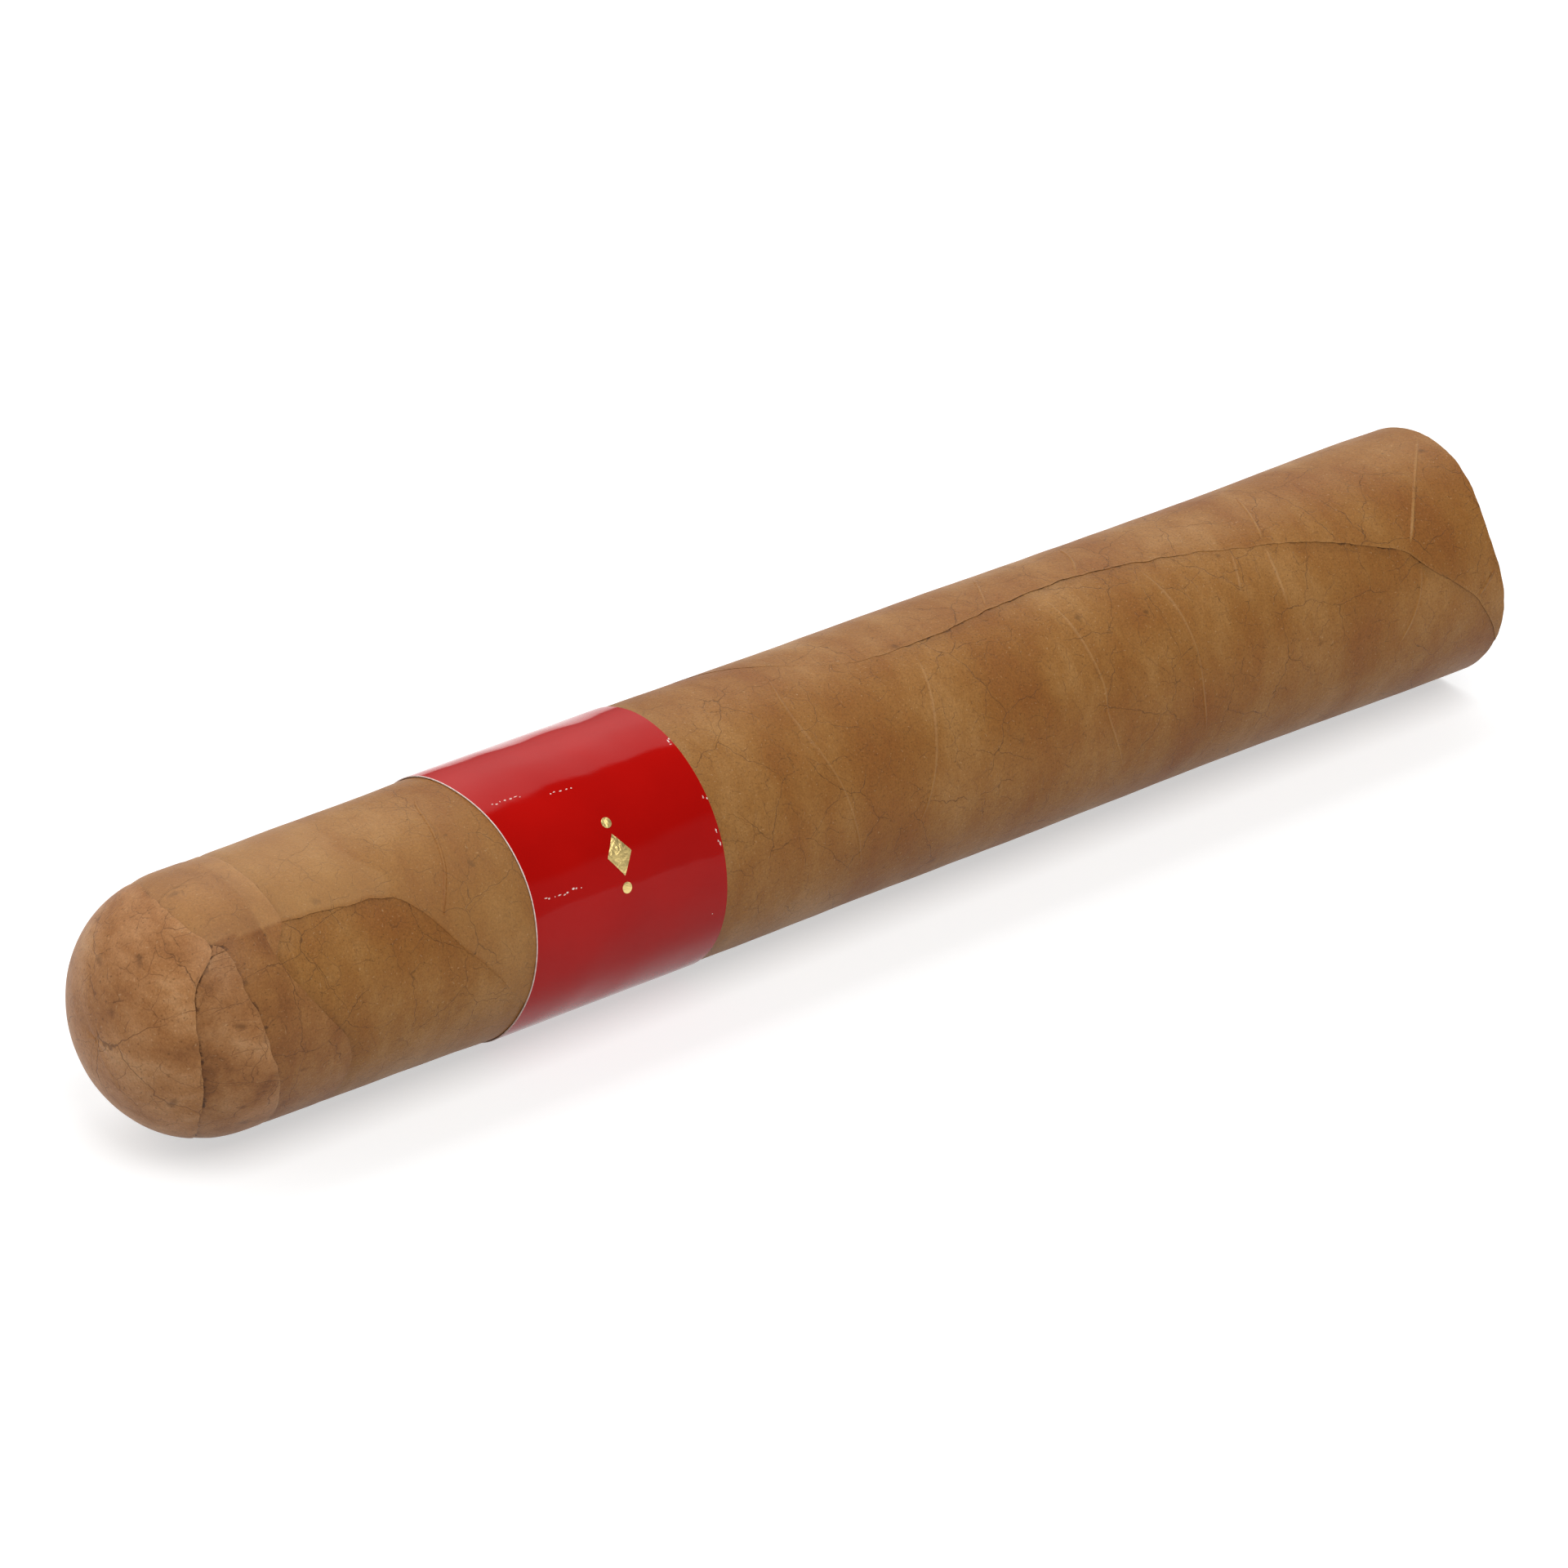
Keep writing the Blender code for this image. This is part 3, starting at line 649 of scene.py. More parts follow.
def lumps(reach, angle):
    """The slight unevenness of a hand-rolled skin, which the band presses flatter."""
    place = Vector((reach, HEAD_RADIUS * math.sin(angle), HEAD_RADIUS * math.cos(angle)))
    off_band = abs(TIP_X + reach - BAND_X) - BAND_WIDTH / 2
    pressed = 1.0 - eased(off_band / LUMP_BLEND)
    swell = sum(share * noise.noise(place / length) for length, share in LUMP_WAVES)
    return LUMP * (1.0 - LUMP_PRESSED * pressed) * swell


def cut_waver(angle, seed):
    """The small waver and tears of a hand-cut cap leaf's edge, in millimetres."""
    return sum(deep * noise_round(angle, fine, seed) for fine, deep in CAP_WAVERS)


def degrees_from(first, angle):
    """An angle in degrees, brought into the turn that starts at first."""
    return (math.degrees(angle) - first) % 360.0 + first


def cap_edge(points, angle):
    """How far a cap leaf reaches at that angle."""
    return (through(points, degrees_from(points[0][0], angle)) + cut_waver(angle, points[0][1])) * MM


def strip_edge(wound, angle):
    """How far the lower cap strip reaches, that many degrees along its winding."""
    return (through(LOWER_STRIP, wound) + cut_waver(angle, 1.0 + wound / 360.0)) * MM


def lower_edge(angle):
    """How far the lower cap strip reaches at that angle, where its first turn shows beyond its second."""
    wound = (LOWER_START - math.degrees(angle)) % 360.0
    if wound < math.degrees(CAP_LAP):
        return max(strip_edge(wound, angle), strip_edge(wound + 360.0, angle))
    return strip_edge(wound, angle)


def under(edge, reach, amount):
    """Depth that a leaf takes to pass under a cap leaf that ends at that edge."""
    return amount * (1.0 - eased((reach - edge) / CAP_BLEND))


def middle_height(reach, angle):
    """Height of the middle cap leaf, which passes under the disc."""
    return lumps(reach, angle) - under(cap_edge(DISC_EDGE, angle), reach, 2 * (CAP_THICKNESS + CAP_GAP))


def lower_height(reach, angle):
    """Height of the lower cap strip, which passes under the disc and the middle leaf."""
    covered = under(cap_edge(MIDDLE_EDGE, angle), reach, 2 * (CAP_THICKNESS + CAP_GAP))
    return middle_height(reach, angle) - covered


def wrapper_height(reach, angle):
    """Height of the wrapper's inner layer, which passes under all the cap leaves."""
    if reach > CAP_ZONE:
        return lumps(reach, angle)
    covered = under(lower_edge(angle), reach, WRAPPER_LIFT + CAP_GAP + CAP_THICKNESS)
    return lower_height(reach, angle) - covered


def near(distance):
    """A mark that is 1 at an edge and falls to 0 at EDGE_FADE from it."""
    return min(max(1.0 - distance / EDGE_FADE, 0.0), 1.0)


def pale_flag(reach, angle):
    """How pale the wrapper's end is: 1 on the flag over the head, as far as its crisp cut edge, and less
    beyond."""
    degrees = min(max(degrees_from(-90.0, angle), FLAG_END[0][0]), FLAG_END[-1][0])
    before_edge = (wrapper_edge(reach) - angle) % (2 * math.pi)
    on_flag = eased((through(FLAG_END, degrees) * MM - reach) / FLAG_CRISP + 0.5)
    fades = 1.0 - eased((before_edge - FLAG_ROUND[0]) / FLAG_ROUND[1])
    fades *= 1.0 - eased((reach - FLAG_ALONG[0]) / FLAG_ALONG[1])
    return (FLAG_BEYOND + (1.0 - FLAG_BEYOND) * on_flag) * fades


# Wrapper leaf: the finest, an even warm tan with soft clouds and a faint oily sheen
wrapper_leaf = cured_leaf(
    "cured_wrapper_leaf", ("#895524", "#8f5d29", "#976732", "#a1733f"), "#41260f", crazing=0.025
)

# Cut edge of a gummed leaf: a dark brown, darker than the leaf, that paints the shade on each cut edge as a
# hairline along each seam
leaf_edge = cured_leaf("cut_leaf_edge", ("#4a2d12", "#5a3817", "#69441f"), "#2e1b0e", mottle=3.0 * MM)
wrapper_reaches = spread(WRAPPER_HOLE, LENGTH, WRAPPER_STEP)
wrapper_edges = [wrapper_edge(reach) for reach in wrapper_reaches]
wrapper_places = []
for wound in spread(0.0, 2 * math.pi + WRAPPER_LAP, WRAPPER_TURN_STEP):
    raised = eased((wound - 2 * math.pi + WRAPPER_RAMP) / WRAPPER_RAMP)
    row = []
    for number, reach in enumerate(wrapper_reaches):
        angle = wrapper_edges[number] - WRAPPER_LAP + wound
        ahead = wrapper_edges[min(number + SLANT_STEPS, len(wrapper_edges) - 1)]
        ahead -= wrapper_edges[max(number - SLANT_STEPS, 0)]
        slant = math.cos(math.atan(ahead * HEAD_RADIUS / (2 * SLANT_STEPS * WRAPPER_STEP))) * HEAD_RADIUS
        groove = near(max(wound - WRAPPER_LAP, 0.0) * slant)
        if reach < CAP_ZONE:
            groove = max(groove, near(max(reach - lower_edge(angle), 0.0)))
        opened = edge_open(reach)
        # rim: a painted highlight along the outer layer's cut edge; groove: darkened gum and painted shade
        # where that edge lies; open: how strong that painted shade and the painted shadow line are
        marks = {
            "rim": near((2 * math.pi + WRAPPER_LAP - wound) * slant) if opened > RIM_SHOWS else 0.0,
            "groove": groove,
            "open": opened,
            "pale": pale_flag(reach, angle) if wound > math.pi else 0.0,
        }
        row.append((reach, angle, raised * wrapper_lift(reach) + wrapper_height(reach, angle), marks))
    wrapper_places.append(row)
wrapper = skin_leaf("wrapper_leaf", wrapper_places, WRAPPER_THICKNESS, [wrapper_leaf, leaf_edge])
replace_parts(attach(wrapper, "cigar"), "wrapper")

# Side veins: the wrapper leaf's own ribs, pressed almost flat in rolling. They stand up as low pale ridges
# that run round the barrel, and each is given as distances from the foot, in millimetres, and angles.
VEIN_HALF_WIDTH = 0.18 * MM
VEIN_HEIGHT = 0.065 * MM
VEIN_SUNK = 0.05 * MM
VEIN_STEP = 0.30 * MM
VEIN_FADES = 3.0 * MM  # a vein grows fainter and stronger over about this length
VEIN_PALE = (0.8, 0.4)  # how pale it is, and how far that varies
VEIN_ENDS = (1 / 7, 1 / 5)  # shares of its length over which it tapers in and out
VEIN_LOOK = 0.02  # how far its direction is taken over, as a share of the gap between two given points
# Across a vein: place, rise and how pale it is
VEIN_SECTION = ((-1.0, -0.3, 0.0), (-0.45, 0.5, 0.3), (0.0, 1.0, 1.0), (0.45, 0.5, 0.3), (1.0, -0.3, 0.0))
FRONT_VEINS = (
    ((66.1, -1.0), (67.3, 22.0), (67.2, 39.0), (66.1, 63.0), (65.4, 83.0), (64.0, 122.0)),
    ((54.4, 19.0), (55.3, 40.0), (56.7, 63.0), (58.2, 84.0), (59.6, 100.0)),
    ((41.3, 13.5), (40.7, 35.0), (40.3, 64.0), (40.3, 81.0), (38.1, 116.0)),
    ((32.1, 17.5), (31.2, 41.0), (30.9, 62.0), (30.9, 85.0), (30.2, 112.0)),
    ((20.7, 30.7), (21.0, 43.0), (21.4, 66.0)),
    ((23.8, 28.5), (25.0, 48.0)),
    ((18.4, -6.0), (20.5, 28.5)),
    ((0.6, 77.0), (2.6, 86.5)),
    ((0.7, 0.5), (5.5, 32.5), (8.3, 54.0)),
    ((7.8, 63.0), (8.9, 80.0), (11.1, 99.0)),
    ((34.5, -19.0), (35.7, -1.0), (37.0, 10.5)),
    ((43.0, -19.0), (46.0, 11.0)),
    ((98.2, -2.0), (99.1, 7.0), (99.8, 24.0), (100.6, 39.0), (101.5, 49.0), (102.4, 59.0)),
)
BACK_VEINS = tuple(
    ((start, 150.0), (start + 2.2, 195.0), (start + 1.4, 240.0), (start + 3.6, 290.0), (start + 3.0, 325.0))
    for start in (14.0, 27.0, 39.0, 52.0, 63.0)
)


def wrapper_top(reach, angle):
    """Height of the wrapper's outermost layer above the skin."""
    wound = (angle - wrapper_edge(reach) + WRAPPER_LAP) % (2 * math.pi)
    lift = wrapper_lift(reach)
    if wound > WRAPPER_LAP:
        lift *= eased((wound - 2 * math.pi + WRAPPER_RAMP) / WRAPPER_RAMP)
    return lift + wrapper_height(reach, angle)


def joined(name, pieces):
    """One object from several, which are removed."""
    form = bmesh.new()
    for piece in pieces:
        form.from_mesh(piece.data)
    mesh = pieces[0].data.copy()
    mesh.name = name
    form.to_mesh(mesh)
    form.free()
    for piece in pieces:
        bpy.data.objects.remove(piece)
    return placed(name, mesh)


veins = []
for route in FRONT_VEINS + BACK_VEINS:
    along = [(k, LENGTH - distance * MM) for k, (distance, _) in enumerate(route)]
    round_it = [(k, math.radians(degrees)) for k, (_, degrees) in enumerate(route)]
    last = len(route) - 1
    run = math.hypot(along[-1][1] - along[0][1], (round_it[-1][1] - round_it[0][1]) * HEAD_RADIUS)
    steps = max(8, round(run / VEIN_STEP))
    outer_rows, inner_rows, crest, flat = [], [], [], []
    for step in range(steps + 1):
        at = last * step / steps
        reach, angle = through(along, at), through(round_it, at)
        before, after = max(at - VEIN_LOOK, 0.0), min(at + VEIN_LOOK, last)
        flow_along = through(along, after) - through(along, before)
        flow_round = (through(round_it, after) - through(round_it, before)) * HEAD_RADIUS
        flow = Vector((flow_along, flow_round)).normalized()
        taper = min(1.0, step / steps / VEIN_ENDS[0], (steps - step) / steps / VEIN_ENDS[1])
        varies = noise.noise(Vector((route[0][0], step * VEIN_STEP / VEIN_FADES, 0.5)))
        width = VEIN_HALF_WIDTH * (0.5 + 0.5 * taper)
        outer_row, inner_row = [], []
        for across, rise, mark in VEIN_SECTION:
            spot_reach = reach - flow.y * across * width
            spot_angle = angle + flow.x * across * width / HEAD_RADIUS
            level = wrapper_top(spot_reach, spot_angle)
            height = VEIN_HEIGHT * (rise * taper - 0.2 * (1.0 - taper))
            outer_row.append(on_skin(spot_reach, spot_angle, level + height))
            inner_row.append(on_skin(spot_reach, spot_angle, level - VEIN_SUNK))
            crest.append(mark * taper * (VEIN_PALE[0] + VEIN_PALE[1] * varies))
            flat.append((spot_reach, spot_angle * HEAD_RADIUS, 0.0))
        outer_rows.append(outer_row)
        inner_rows.append(inner_row)
    vein = thin_sheet("vein", outer_rows, inner_rows, [wrapper_leaf], marks={"crest": crest}, flat=flat)
    veins.append(vein)
wrapper_veins = joined("wrapper_veins", veins)
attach(wrapper_veins, "cigar")

# Cap leaves: two narrow strips wound round the head and one round disc over its tip, cut from wrapper leaf
# and stuck down with vegetable gum. They are pinker and more wrinkled than the wrapper. Their gummed edges
# are darkened by the gum and by painted shade, and their cut rims carry a faint painted highlight.
CAP_RAMP = math.radians(20.0)
CAP_TURN_STEP = math.radians(2.0)
CAP_LIFT = CAP_THICKNESS + CAP_GAP
CAP_COLUMNS = 28
LOWER_HOLE = 4.2 * MM
LOWER_GUM = 0.8  # groove mark past the strip's first half turn, which is gummed all over
LOWER_OPEN = 0.75
LOWER_OPEN_PALE = 0.15  # how open its edge looks where the pale flag lies
LOWER_PALE = 0.7
MIDDLE_START = 300.0
MIDDLE_HOLE = 2.6 * MM
MIDDLE_OPEN = 0.9
DISC_TURNS = 180
DISC_RINGS = 36
DISC_MIDDLE = 0.00001 * MM  # the disc's innermost ring, small enough to close it

# Cap leaf over the tip: wrinkled over the round head and rubbed with gum, so it is pinkish, blotched with
# pale and dark and more finely cracked
cap_leaf = cured_leaf(
    "gummed_cap_leaf",
    ("#80512b", "#9b683b", "#a9774a", "#b7895d"),
    "#4a2b14",
    mottle=4.0 * MM,
    cracks=4.4 * MM,
    crazing=0.05,
    stains=(2.4 * MM, 0.34 * MM),
    gum_and_shade_width=3.0 * MM,
    gum_and_shade=0.22,
)

# Cap strip: the same leaf on the straighter part of the head, smoother, with specks of dried gum
strip_leaf = cured_leaf(
    "gummed_strip_leaf",
    ("#86542a", "#925f31", "#9d6a38", "#a77644"),
    "#4a2b14",
    mottle=5.0 * MM,
    stains=(3.0 * MM, 0.32 * MM),
    gum_and_shade_width=2.2 * MM,
    gum_and_shade=0.22,
)
lower_places = []
for wound in spread(0.0, 2 * math.pi + CAP_LAP, CAP_TURN_STEP):
    lift = CAP_LIFT * eased((wound - 2 * math.pi + CAP_RAMP) / CAP_RAMP)
    angle = math.radians(LOWER_START) - wound
    end = strip_edge(math.degrees(wound), angle)
    second_turn = strip_edge(math.degrees(wound) + 360.0, angle) if wound < CAP_LAP else 0.0
    covered_to = max(cap_edge(MIDDLE_EDGE, angle), cap_edge(DISC_EDGE, angle), second_turn)
    later = wound > math.pi
    row = []
    for k in range(CAP_COLUMNS + 1):
        reach = LOWER_HOLE + (end - LOWER_HOLE) * k / CAP_COLUMNS
        pale = pale_flag(reach, angle)
        # The strip's rim gets a painted highlight where the flag is pale, and its groove darkened gum and
        # painted shade
        marks = {
            "rim": near(end - reach) * pale,
            "groove": max(near(max(reach - covered_to, 0.0)), LOWER_GUM if later else 0.0),
            "open": LOWER_OPEN - (LOWER_OPEN - LOWER_OPEN_PALE) * pale,
            "pale": pale * (LOWER_PALE if later else 1.0),
        }
        row.append((reach, angle, lift + lower_height(reach, angle), marks))
    lower_places.append(row)
cap_lower = skin_leaf("cap_lower_leaf", lower_places, CAP_THICKNESS, [strip_leaf, leaf_edge])
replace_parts(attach(cap_lower, "cigar"), "cap_lower")

middle_places = []
for wound in spread(0.0, 2 * math.pi + CAP_LAP, CAP_TURN_STEP):
    lift = CAP_LIFT * eased((wound - 2 * math.pi + CAP_RAMP) / CAP_RAMP)
    angle = math.radians(MIDDLE_START) + wound
    end = cap_edge(MIDDLE_EDGE, angle)
    covered_to = cap_edge(DISC_EDGE, angle)
    row = []
    for k in range(CAP_COLUMNS + 1):
        reach = MIDDLE_HOLE + (end - MIDDLE_HOLE) * k / CAP_COLUMNS
        # The middle leaf's rim gets a painted highlight, and its groove darkened gum and painted shade
        marks = {
            "rim": near(end - reach),
            "groove": near(max(reach - covered_to, 0.0)),
            "open": MIDDLE_OPEN,
        }
        row.append((reach, angle, lift + middle_height(reach, angle), marks))
    middle_places.append(row)
cap_middle = skin_leaf("cap_middle_leaf", middle_places, CAP_THICKNESS, [cap_leaf, leaf_edge])
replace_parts(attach(cap_middle, "cigar"), "cap_middle")

disc_places = []
for column in range(DISC_TURNS):
    angle = 2 * math.pi * column / DISC_TURNS
    end = cap_edge(DISC_EDGE, angle)
    row = []
    for k in range(DISC_RINGS + 1):
        reach = max(end * k / DISC_RINGS, DISC_MIDDLE)
        # The disc's rim mark gives its cut edge a painted highlight
        row.append((reach, angle, lumps(reach, angle), {"rim": near(end - reach)}))
    disc_places.append(row)
cap_disc = skin_leaf("cap_disc_leaf", disc_places, CAP_THICKNESS, [cap_leaf, leaf_edge], closed=True)
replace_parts(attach(cap_disc, "cigar"), "cap_disc")

# Band: a strip of red printed and varnished paper, wrapped round the barrel and glued to itself low at the
# back. Its head-side edge was cut and wrapped a little askew, and shows a hair of white paper. It slides
# along the barrel.
BAND_THICKNESS = 0.07 * MM
BAND_TAB = math.radians(37.5)
BAND_TAB_RAMP = math.radians(14.0)
BAND_TAB_LIFT = 0.085 * MM
BAND_SEAM = math.radians(213.75)
BAND_RIPPLE = 0.014 * MM
BAND_RIPPLE_LENGTH = 5.0 * MM
BAND_MARGIN = 0.07 * MM
BAND_STEP = 0.5 * MM
BAND_TURN_STEP = math.radians(1.8)

# How far its head-side edge strays towards the foot, in millimetres, at each angle in degrees
BAND_ASKEW = (
    (-33.0, -0.25), (0.0, -0.42), (34.0, 0.10), (62.0, 0.22), (80.0, 0.02), (101.0, -0.35),
    (119.0, -0.75), (135.0, -0.95), (150.0, -0.85), (170.0, -0.55), (205.0, -0.15), (250.0, 0.15),
    (290.0, 0.20), (315.0, -0.05), (327.0, -0.25),
)

# Offset ink under varnish: an even red with a wet gloss, whose reflections waver where the paper was glued
band_red, tree = new_material("varnished_red_paper")
place = add_node(tree, "TexCoord").outputs["Object"]
ink = add_node(tree, "TexNoise", {"Vector": place, "Scale": 1 / (6.0 * MM), "Detail": 3.0})
ink_tone = add_node(
    tree, "ValToRGB", {"Fac": ink}, stops=[(0.3, linear("#a90a06")), (0.7, linear("#b20c07"))]
)
# Waves about 7 mm long where the glue drew the paper, and paper tooth about 0.5 mm under the varnish
waves = add_node(tree, "TexNoise", {"Vector": place, "Scale": 1 / (7.0 * MM), "Detail": 1.0})
tooth = add_node(tree, "TexNoise", {"Vector": place, "Scale": 1 / (0.5 * MM), "Detail": 2.0})
height = add_node(tree, "Math", [tooth, 0.012, waves], operation="MULTIPLY_ADD")
bump = add_node(tree, "Bump", {"Height": height, "Strength": 1.0, "Distance": 0.30 * MM})
surface = add_node(
    tree,
    "BsdfPrincipled",
    {"Base Color": ink_tone, "Roughness": 0.10, "IOR": 1.46, "Specular IOR Level": 0.15, "Normal": bump},
)
add_node(tree, "OutputMaterial", {"Surface": surface})

# Bare paper: a matt white with a faint pulp of about 0.3 mm, tinted by the ink beside it
paper_core, tree = new_material("cut_white_paper")
place = add_node(tree, "TexCoord").outputs["Object"]
pulp = add_node(tree, "TexNoise", {"Vector": place, "Scale": 1 / (0.3 * MM), "Detail": 2.0})
pulp_tone = add_node(
    tree, "ValToRGB", {"Fac": pulp}, stops=[(0.3, linear("#dcbcb3")), (0.7, linear("#f0e2da"))]
)
surface = add_node(tree, "BsdfPrincipled", {"Base Color": pulp_tone, "Roughness": 0.8})
add_node(tree, "OutputMaterial", {"Surface": surface})


def on_band(x, angle, height=0.0):
    """The point that height above the band's printed face, which ripples a little as glued paper does."""
    place = Vector((x, BAND_RADIUS * math.sin(angle), BAND_RADIUS * math.cos(angle)))
    ripple = BAND_RIPPLE * noise.noise(place / BAND_RIPPLE_LENGTH)
    spot = round_axis(BAND_X, BAND_RADIUS + ripple + height, angle)
    askew = through(BAND_ASKEW, degrees_from(BAND_ASKEW[0][0], angle)) * MM
    toward_head = 0.5 - (x - BAND_X) / BAND_WIDTH
    return Vector((x + askew * toward_head, spot.y, spot.z))


outer_rows, inner_rows = [], []
band_stations = spread(BAND_X - BAND_WIDTH / 2 + BAND_MARGIN, BAND_X + BAND_WIDTH / 2, BAND_STEP)
band_stations.insert(0, BAND_X - BAND_WIDTH / 2)
for wound in spread(0.0, 2 * math.pi + BAND_TAB, BAND_TURN_STEP):
    lift = BAND_TAB_LIFT * eased((wound - 2 * math.pi) / BAND_TAB_RAMP + 1.0)
    outer_rows.append([on_band(x, BAND_SEAM + wound, lift) for x in band_stations])
    inner_rows.append([on_band(x, BAND_SEAM + wound, lift - BAND_THICKNESS) for x in band_stations])
band = thin_sheet("band_paper", outer_rows, inner_rows, [band_red, paper_core], margin=1, lined=True)
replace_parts(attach(band, "band"), "band")

# Ornament: a plain lozenge between two dots, hot-stamped on the band's front in gold foil. It swells a
# little above the paper.
FOIL_HEIGHT = 0.03 * MM
FOIL_SWELL = 0.09 * MM
FOIL_X = BAND_X - 0.3 * MM
FOIL_ANGLE = math.radians(60.0)
LOZENGE_HALF = (1.10 * MM, 1.60 * MM)  # along the barrel and round it
DOT_RADIUS = 0.42 * MM
DOT_AWAY = 2.5 * MM
MARK_TURNS = 32
MARK_RINGS = (0.0001, 0.34, 0.67, 0.9, 1.0)

# Stamped foil: a pale satin gold, crumpled at about 0.6 mm so that it glints light and dark
gold_foil, tree = new_material("stamped_gold_foil")
place = add_node(tree, "TexCoord").outputs["Object"]
crumple = add_node(tree, "TexNoise", {"Vector": place, "Scale": 1 / (0.6 * MM), "Detail": 2.0})
bump = add_node(tree, "Bump", {"Height": crumple, "Strength": 0.9, "Distance": 0.20 * MM})
surface = add_node(
    tree,
    "BsdfPrincipled",
    {"Base Color": linear("#ead08a"), "Metallic": 1.0, "Roughness": 0.42, "Normal": bump},
)
add_node(tree, "OutputMaterial", {"Surface": surface})


def band_mark(x, angle, half_x, half_round, power, height, swell, material, rough_edge=0.0):
    """A thin mark on the band, swelling to its middle. Power 1 gives a lozenge and 2 an ellipse."""
    outer_rows, inner_rows = [], []
    for k in range(MARK_TURNS):
        turn = 2 * math.pi * k / MARK_TURNS
        size = (abs(math.cos(turn)) ** power + abs(math.sin(turn)) ** power) ** (-1.0 / power)
        torn = noise.noise(Vector((2.5 * math.cos(turn), 2.5 * math.sin(turn), x / MM + angle)))
        size *= 1.0 + rough_edge * torn
        outer_row, inner_row = [], []
        for share in MARK_RINGS:
            spot_x = x + share * size * half_x * math.cos(turn)
            spot_angle = angle + share * size * half_round * math.sin(turn) / BAND_RADIUS
            outer_row.append(on_band(spot_x, spot_angle, height + swell * (1.0 - share)))
            inner_row.append(on_band(spot_x, spot_angle, -BAND_THICKNESS / 2))
        outer_rows.append(outer_row)
        inner_rows.append(inner_row)
    return thin_sheet("mark", outer_rows, inner_rows, [material], closed=True)


foil_marks = [band_mark(FOIL_X, FOIL_ANGLE, *LOZENGE_HALF, 1.0, FOIL_HEIGHT, FOIL_SWELL, gold_foil)]
for side in (-1, 1):
    dot_angle = FOIL_ANGLE + side * DOT_AWAY / BAND_RADIUS
    foil_marks.append(
        band_mark(FOIL_X, dot_angle, DOT_RADIUS, DOT_RADIUS, 2.0, FOIL_HEIGHT, FOIL_SWELL / 2, gold_foil)
    )
ornament = joined("band_ornament", foil_marks)
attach(ornament, "band")

# Chips: specks of bare white paper where the varnish has flaked off, along three short bends in the band
# and on its foot-side edge.
CHIP_HEIGHT = 0.008 * MM
CHIP_LONG = (0.03, 0.16)  # half lengths and half widths in millimetres
CHIP_NARROW = (0.03, 0.07)
CHIP_JITTER = 0.1
CHIP_TORN = 0.5
CHIP_EDGE = 8.0  # beyond this the chips lie along the foot-side edge
# Start and end from the band's middle in millimetres, angle and scatter in degrees, and how many
CHIP_ROWS = (
    (-7.6, -5.2, 21.0, 0.8, 7),
    (-3.0, -1.2, 25.5, 0.8, 5),
    (-7.6, -4.2, 67.0, 0.8, 9),
    (8.45, 8.60, 21.0, 2.0, 4),
    (8.45, 8.60, 50.0, 2.0, 3),
    (8.45, 8.60, 68.0, 4.0, 5),
    (7.60, 8.00, 100.0, 1.0, 1),
)
draw = random.Random(7)
chips = []
for start_x, end_x, degrees, scatter, count in CHIP_ROWS:
    for number in range(count):
        share = number / max(count - 1, 1)
        half_x = draw.uniform(*CHIP_LONG) * MM
        half_round = draw.uniform(*CHIP_NARROW) * MM
        if start_x > CHIP_EDGE:
            half_x, half_round = half_round, half_x
        from_middle = start_x + (end_x - start_x) * share + draw.uniform(-CHIP_JITTER, CHIP_JITTER)
        chip_x = min(BAND_X + from_middle * MM, BAND_X + BAND_WIDTH / 2 - half_x)
        chip_angle = math.radians(degrees + draw.uniform(-scatter, scatter))
        chips.append(
            band_mark(chip_x, chip_angle, half_x, half_round, 2.0, CHIP_HEIGHT, 0.0, paper_core, CHIP_TORN)
        )
band_chips = joined("band_chips", chips)
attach(band_chips, "band")

# Floor and light: a white table, a bright white ceiling above and behind, a dark front above eye level, and
# a large soft lamp high over the camera's side.
FLOOR_HALF = 3.0
FLOOR_BELOW = 0.05 * MM  # clear of the cigar's flat underside
TABLE_GLOW = 0.56
SOFTBOX_AT = Vector((-0.05, -0.55, 1.05))
SOFTBOX_SIZE = 0.9
SOFTBOX_WATTS = 9.6
ROOM_STRENGTH = 1.75
# The room from the back's eye level, over the top, to the front's: share of that half turn, and brightness
ROOM = (
    (0.0, 0.10), (0.10, 0.40), (0.22, 0.95), (0.415, 1.1), (0.435, 0.06), (0.82, 0.06), (0.86, 0.26),
    (1.0, 0.30),
)
floor_mesh = bpy.data.meshes.new("floor")
floor_corners = [(x * FLOOR_HALF, y * FLOOR_HALF, 0) for x, y in ((-1, -1), (1, -1), (1, 1), (-1, 1))]
floor_mesh.from_pydata(floor_corners, [], [(0, 1, 2, 3)])
floor = placed("floor", floor_mesh)
floor.location.z = -FLOOR_BELOW

# Matt white table paint: it keeps the shadow, and is white wherever it is seen straight or in a reflection
white_table, tree = new_material("white_table")
paint = add_node(tree, "BsdfDiffuse", {"Color": linear("#c6c6c6")})
rays = add_node(tree, "LightPath").outputs
seen = rays["Is Camera Ray"]
for ray in ("Is Glossy Ray", "Is Transmission Ray"):
    seen = add_node(tree, "Math", [seen, rays[ray]], operation="MAXIMUM").outputs[0]
glow_strength = add_node(tree, "Math", [seen, TABLE_GLOW], operation="MULTIPLY")
glow = add_node(tree, "Emission", {"Strength": glow_strength})
white = add_node(tree, "AddShader", [paint, glow])
add_node(tree, "OutputMaterial", {"Surface": white})
floor_mesh.materials.append(white_table)

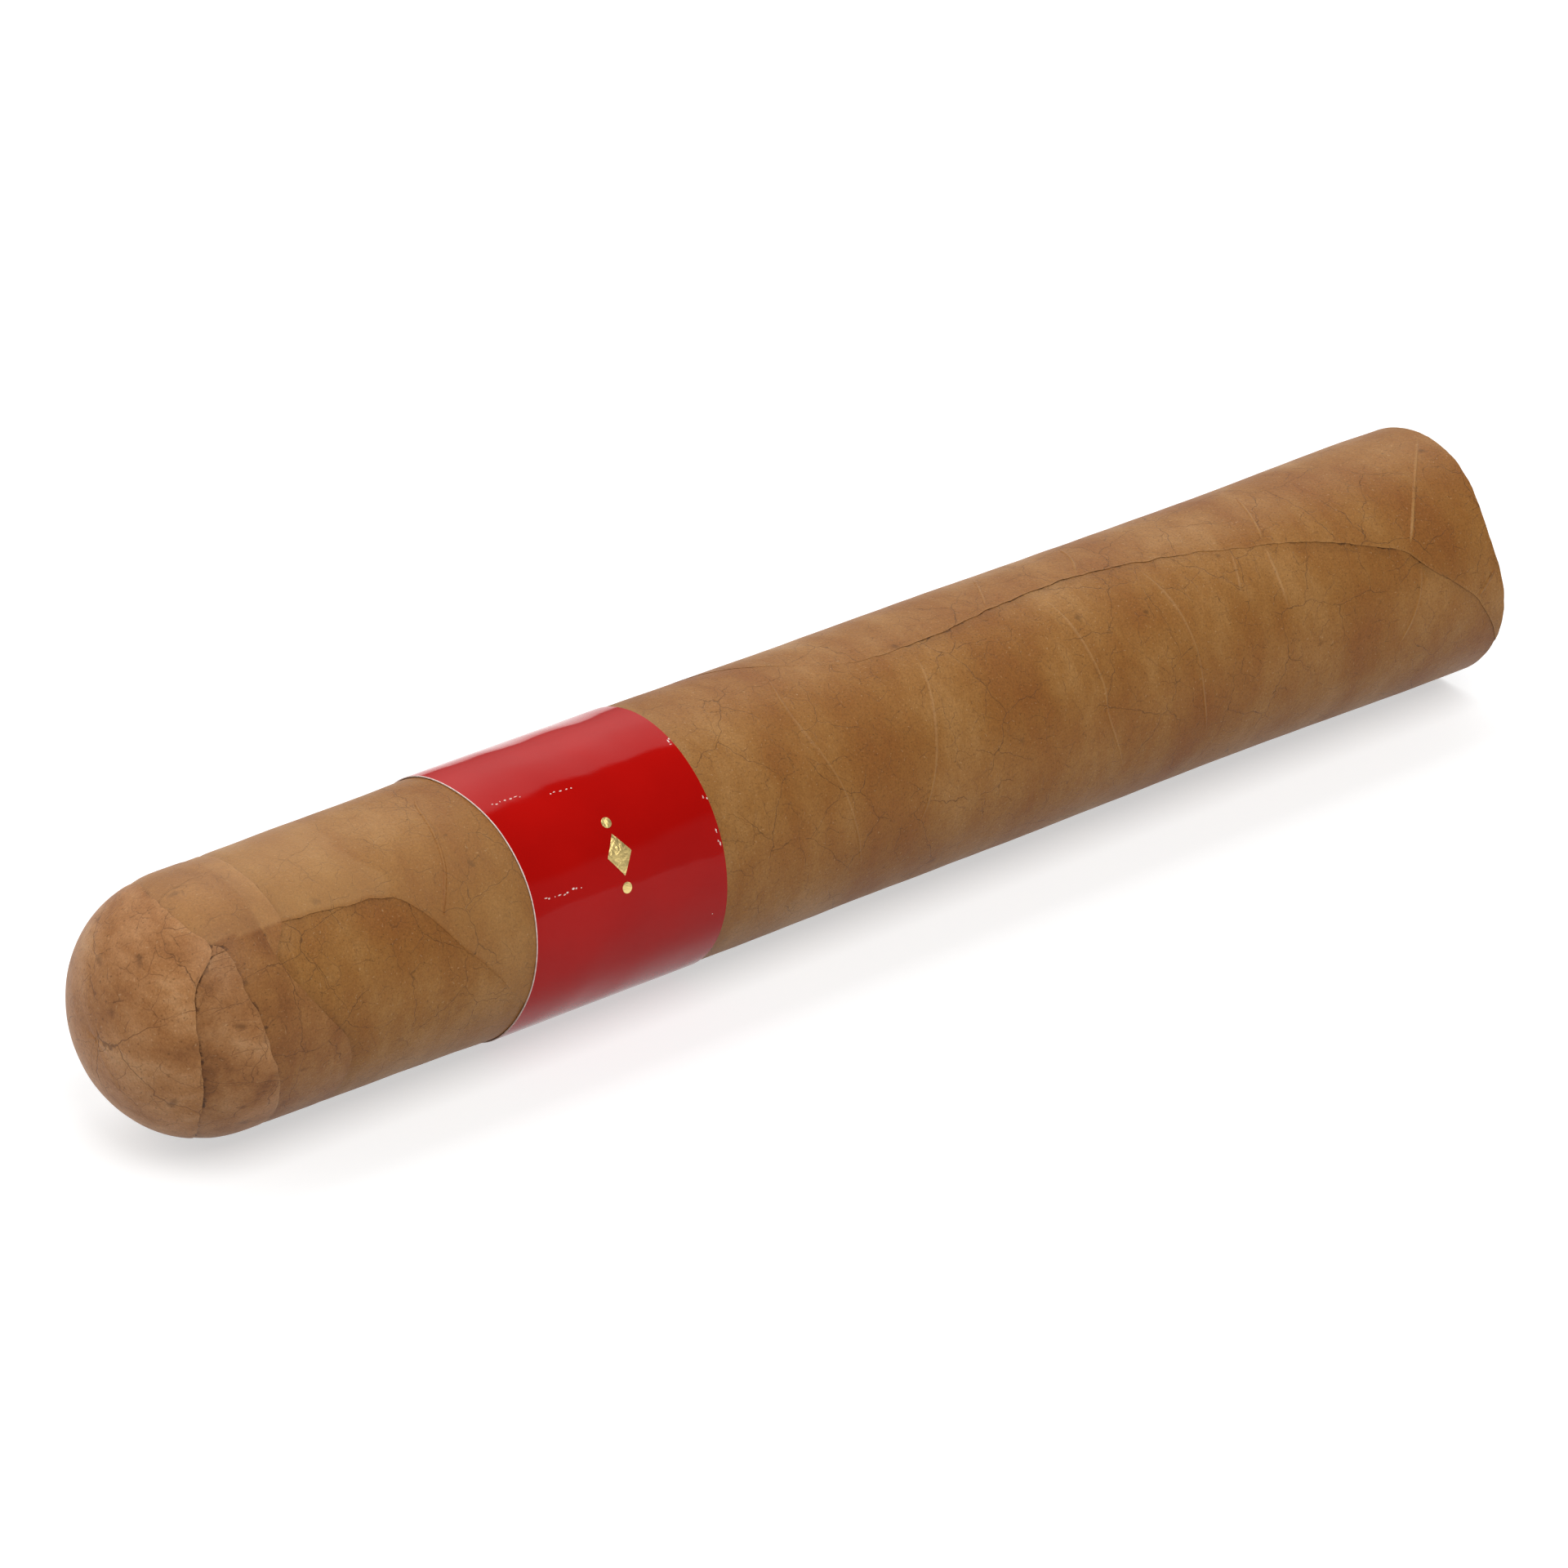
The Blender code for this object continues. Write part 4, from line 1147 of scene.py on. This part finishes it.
world = bpy.data.worlds.new("studio")
bpy.context.scene.world = world
world.use_nodes = True
tree = world.node_tree
tree.nodes.clear()
direction = add_node(tree, "TexCoord").outputs["Generated"]
split = add_node(tree, "SeparateXYZ", {"Vector": direction}).outputs
over = add_node(tree, "Math", [split["Z"], split["Y"]], operation="ARCTAN2")
half_turn = add_node(tree, "Math", [over, math.pi], operation="DIVIDE")
ramp = add_node(
    tree,
    "ValToRGB",
    {"Fac": half_turn},
    stops=[(share, (level, level, level, 1.0)) for share, level in ROOM],
)
sky = add_node(tree, "Background", {"Color": ramp, "Strength": ROOM_STRENGTH})
add_node(tree, "OutputWorld", {"Surface": sky})

softbox = bpy.data.lights.new("softbox", "AREA")
softbox.shape = "SQUARE"
softbox.size = SOFTBOX_SIZE
softbox.energy = SOFTBOX_WATTS
softbox_object = placed("softbox", softbox)
softbox_object.location = SOFTBOX_AT
softbox_object.rotation_euler = SOFTBOX_AT.to_track_quat("Z", "Y").to_euler()

# Camera: a long lens that looks down on the cigar past its head, so that the barrel runs away to the upper
# right.
AZIMUTH = math.radians(-39.2)
ELEVATION = math.radians(27.0)
DISTANCE = 0.6547
LENS = 206.25
SENSOR = 36.0
NEAREST = 0.01
AIM_REACH = 33.2 * MM
AIM_RIGHT = 23.0 * MM
AIM_UP = 8.58 * MM
sideways = math.cos(ELEVATION)
back = Vector((math.sin(AZIMUTH) * sideways, -math.cos(AZIMUTH) * sideways, math.sin(ELEVATION)))
right = Vector((math.cos(AZIMUTH), math.sin(AZIMUTH), 0.0))
up = back.cross(right)
aim = Vector((TIP_X + AIM_REACH, 0.0, AXIS_Z)) + right * AIM_RIGHT + up * AIM_UP
camera_data = bpy.data.cameras.new("camera")
camera_data.lens = LENS
camera_data.sensor_width = SENSOR
camera_data.clip_start = NEAREST
camera = placed("camera", camera_data)
camera.location = aim + back * DISTANCE
camera.rotation_euler = back.to_track_quat("Z", "Y").to_euler()
bpy.context.scene.camera = camera
bpy.context.scene.view_settings.view_transform = "Standard"
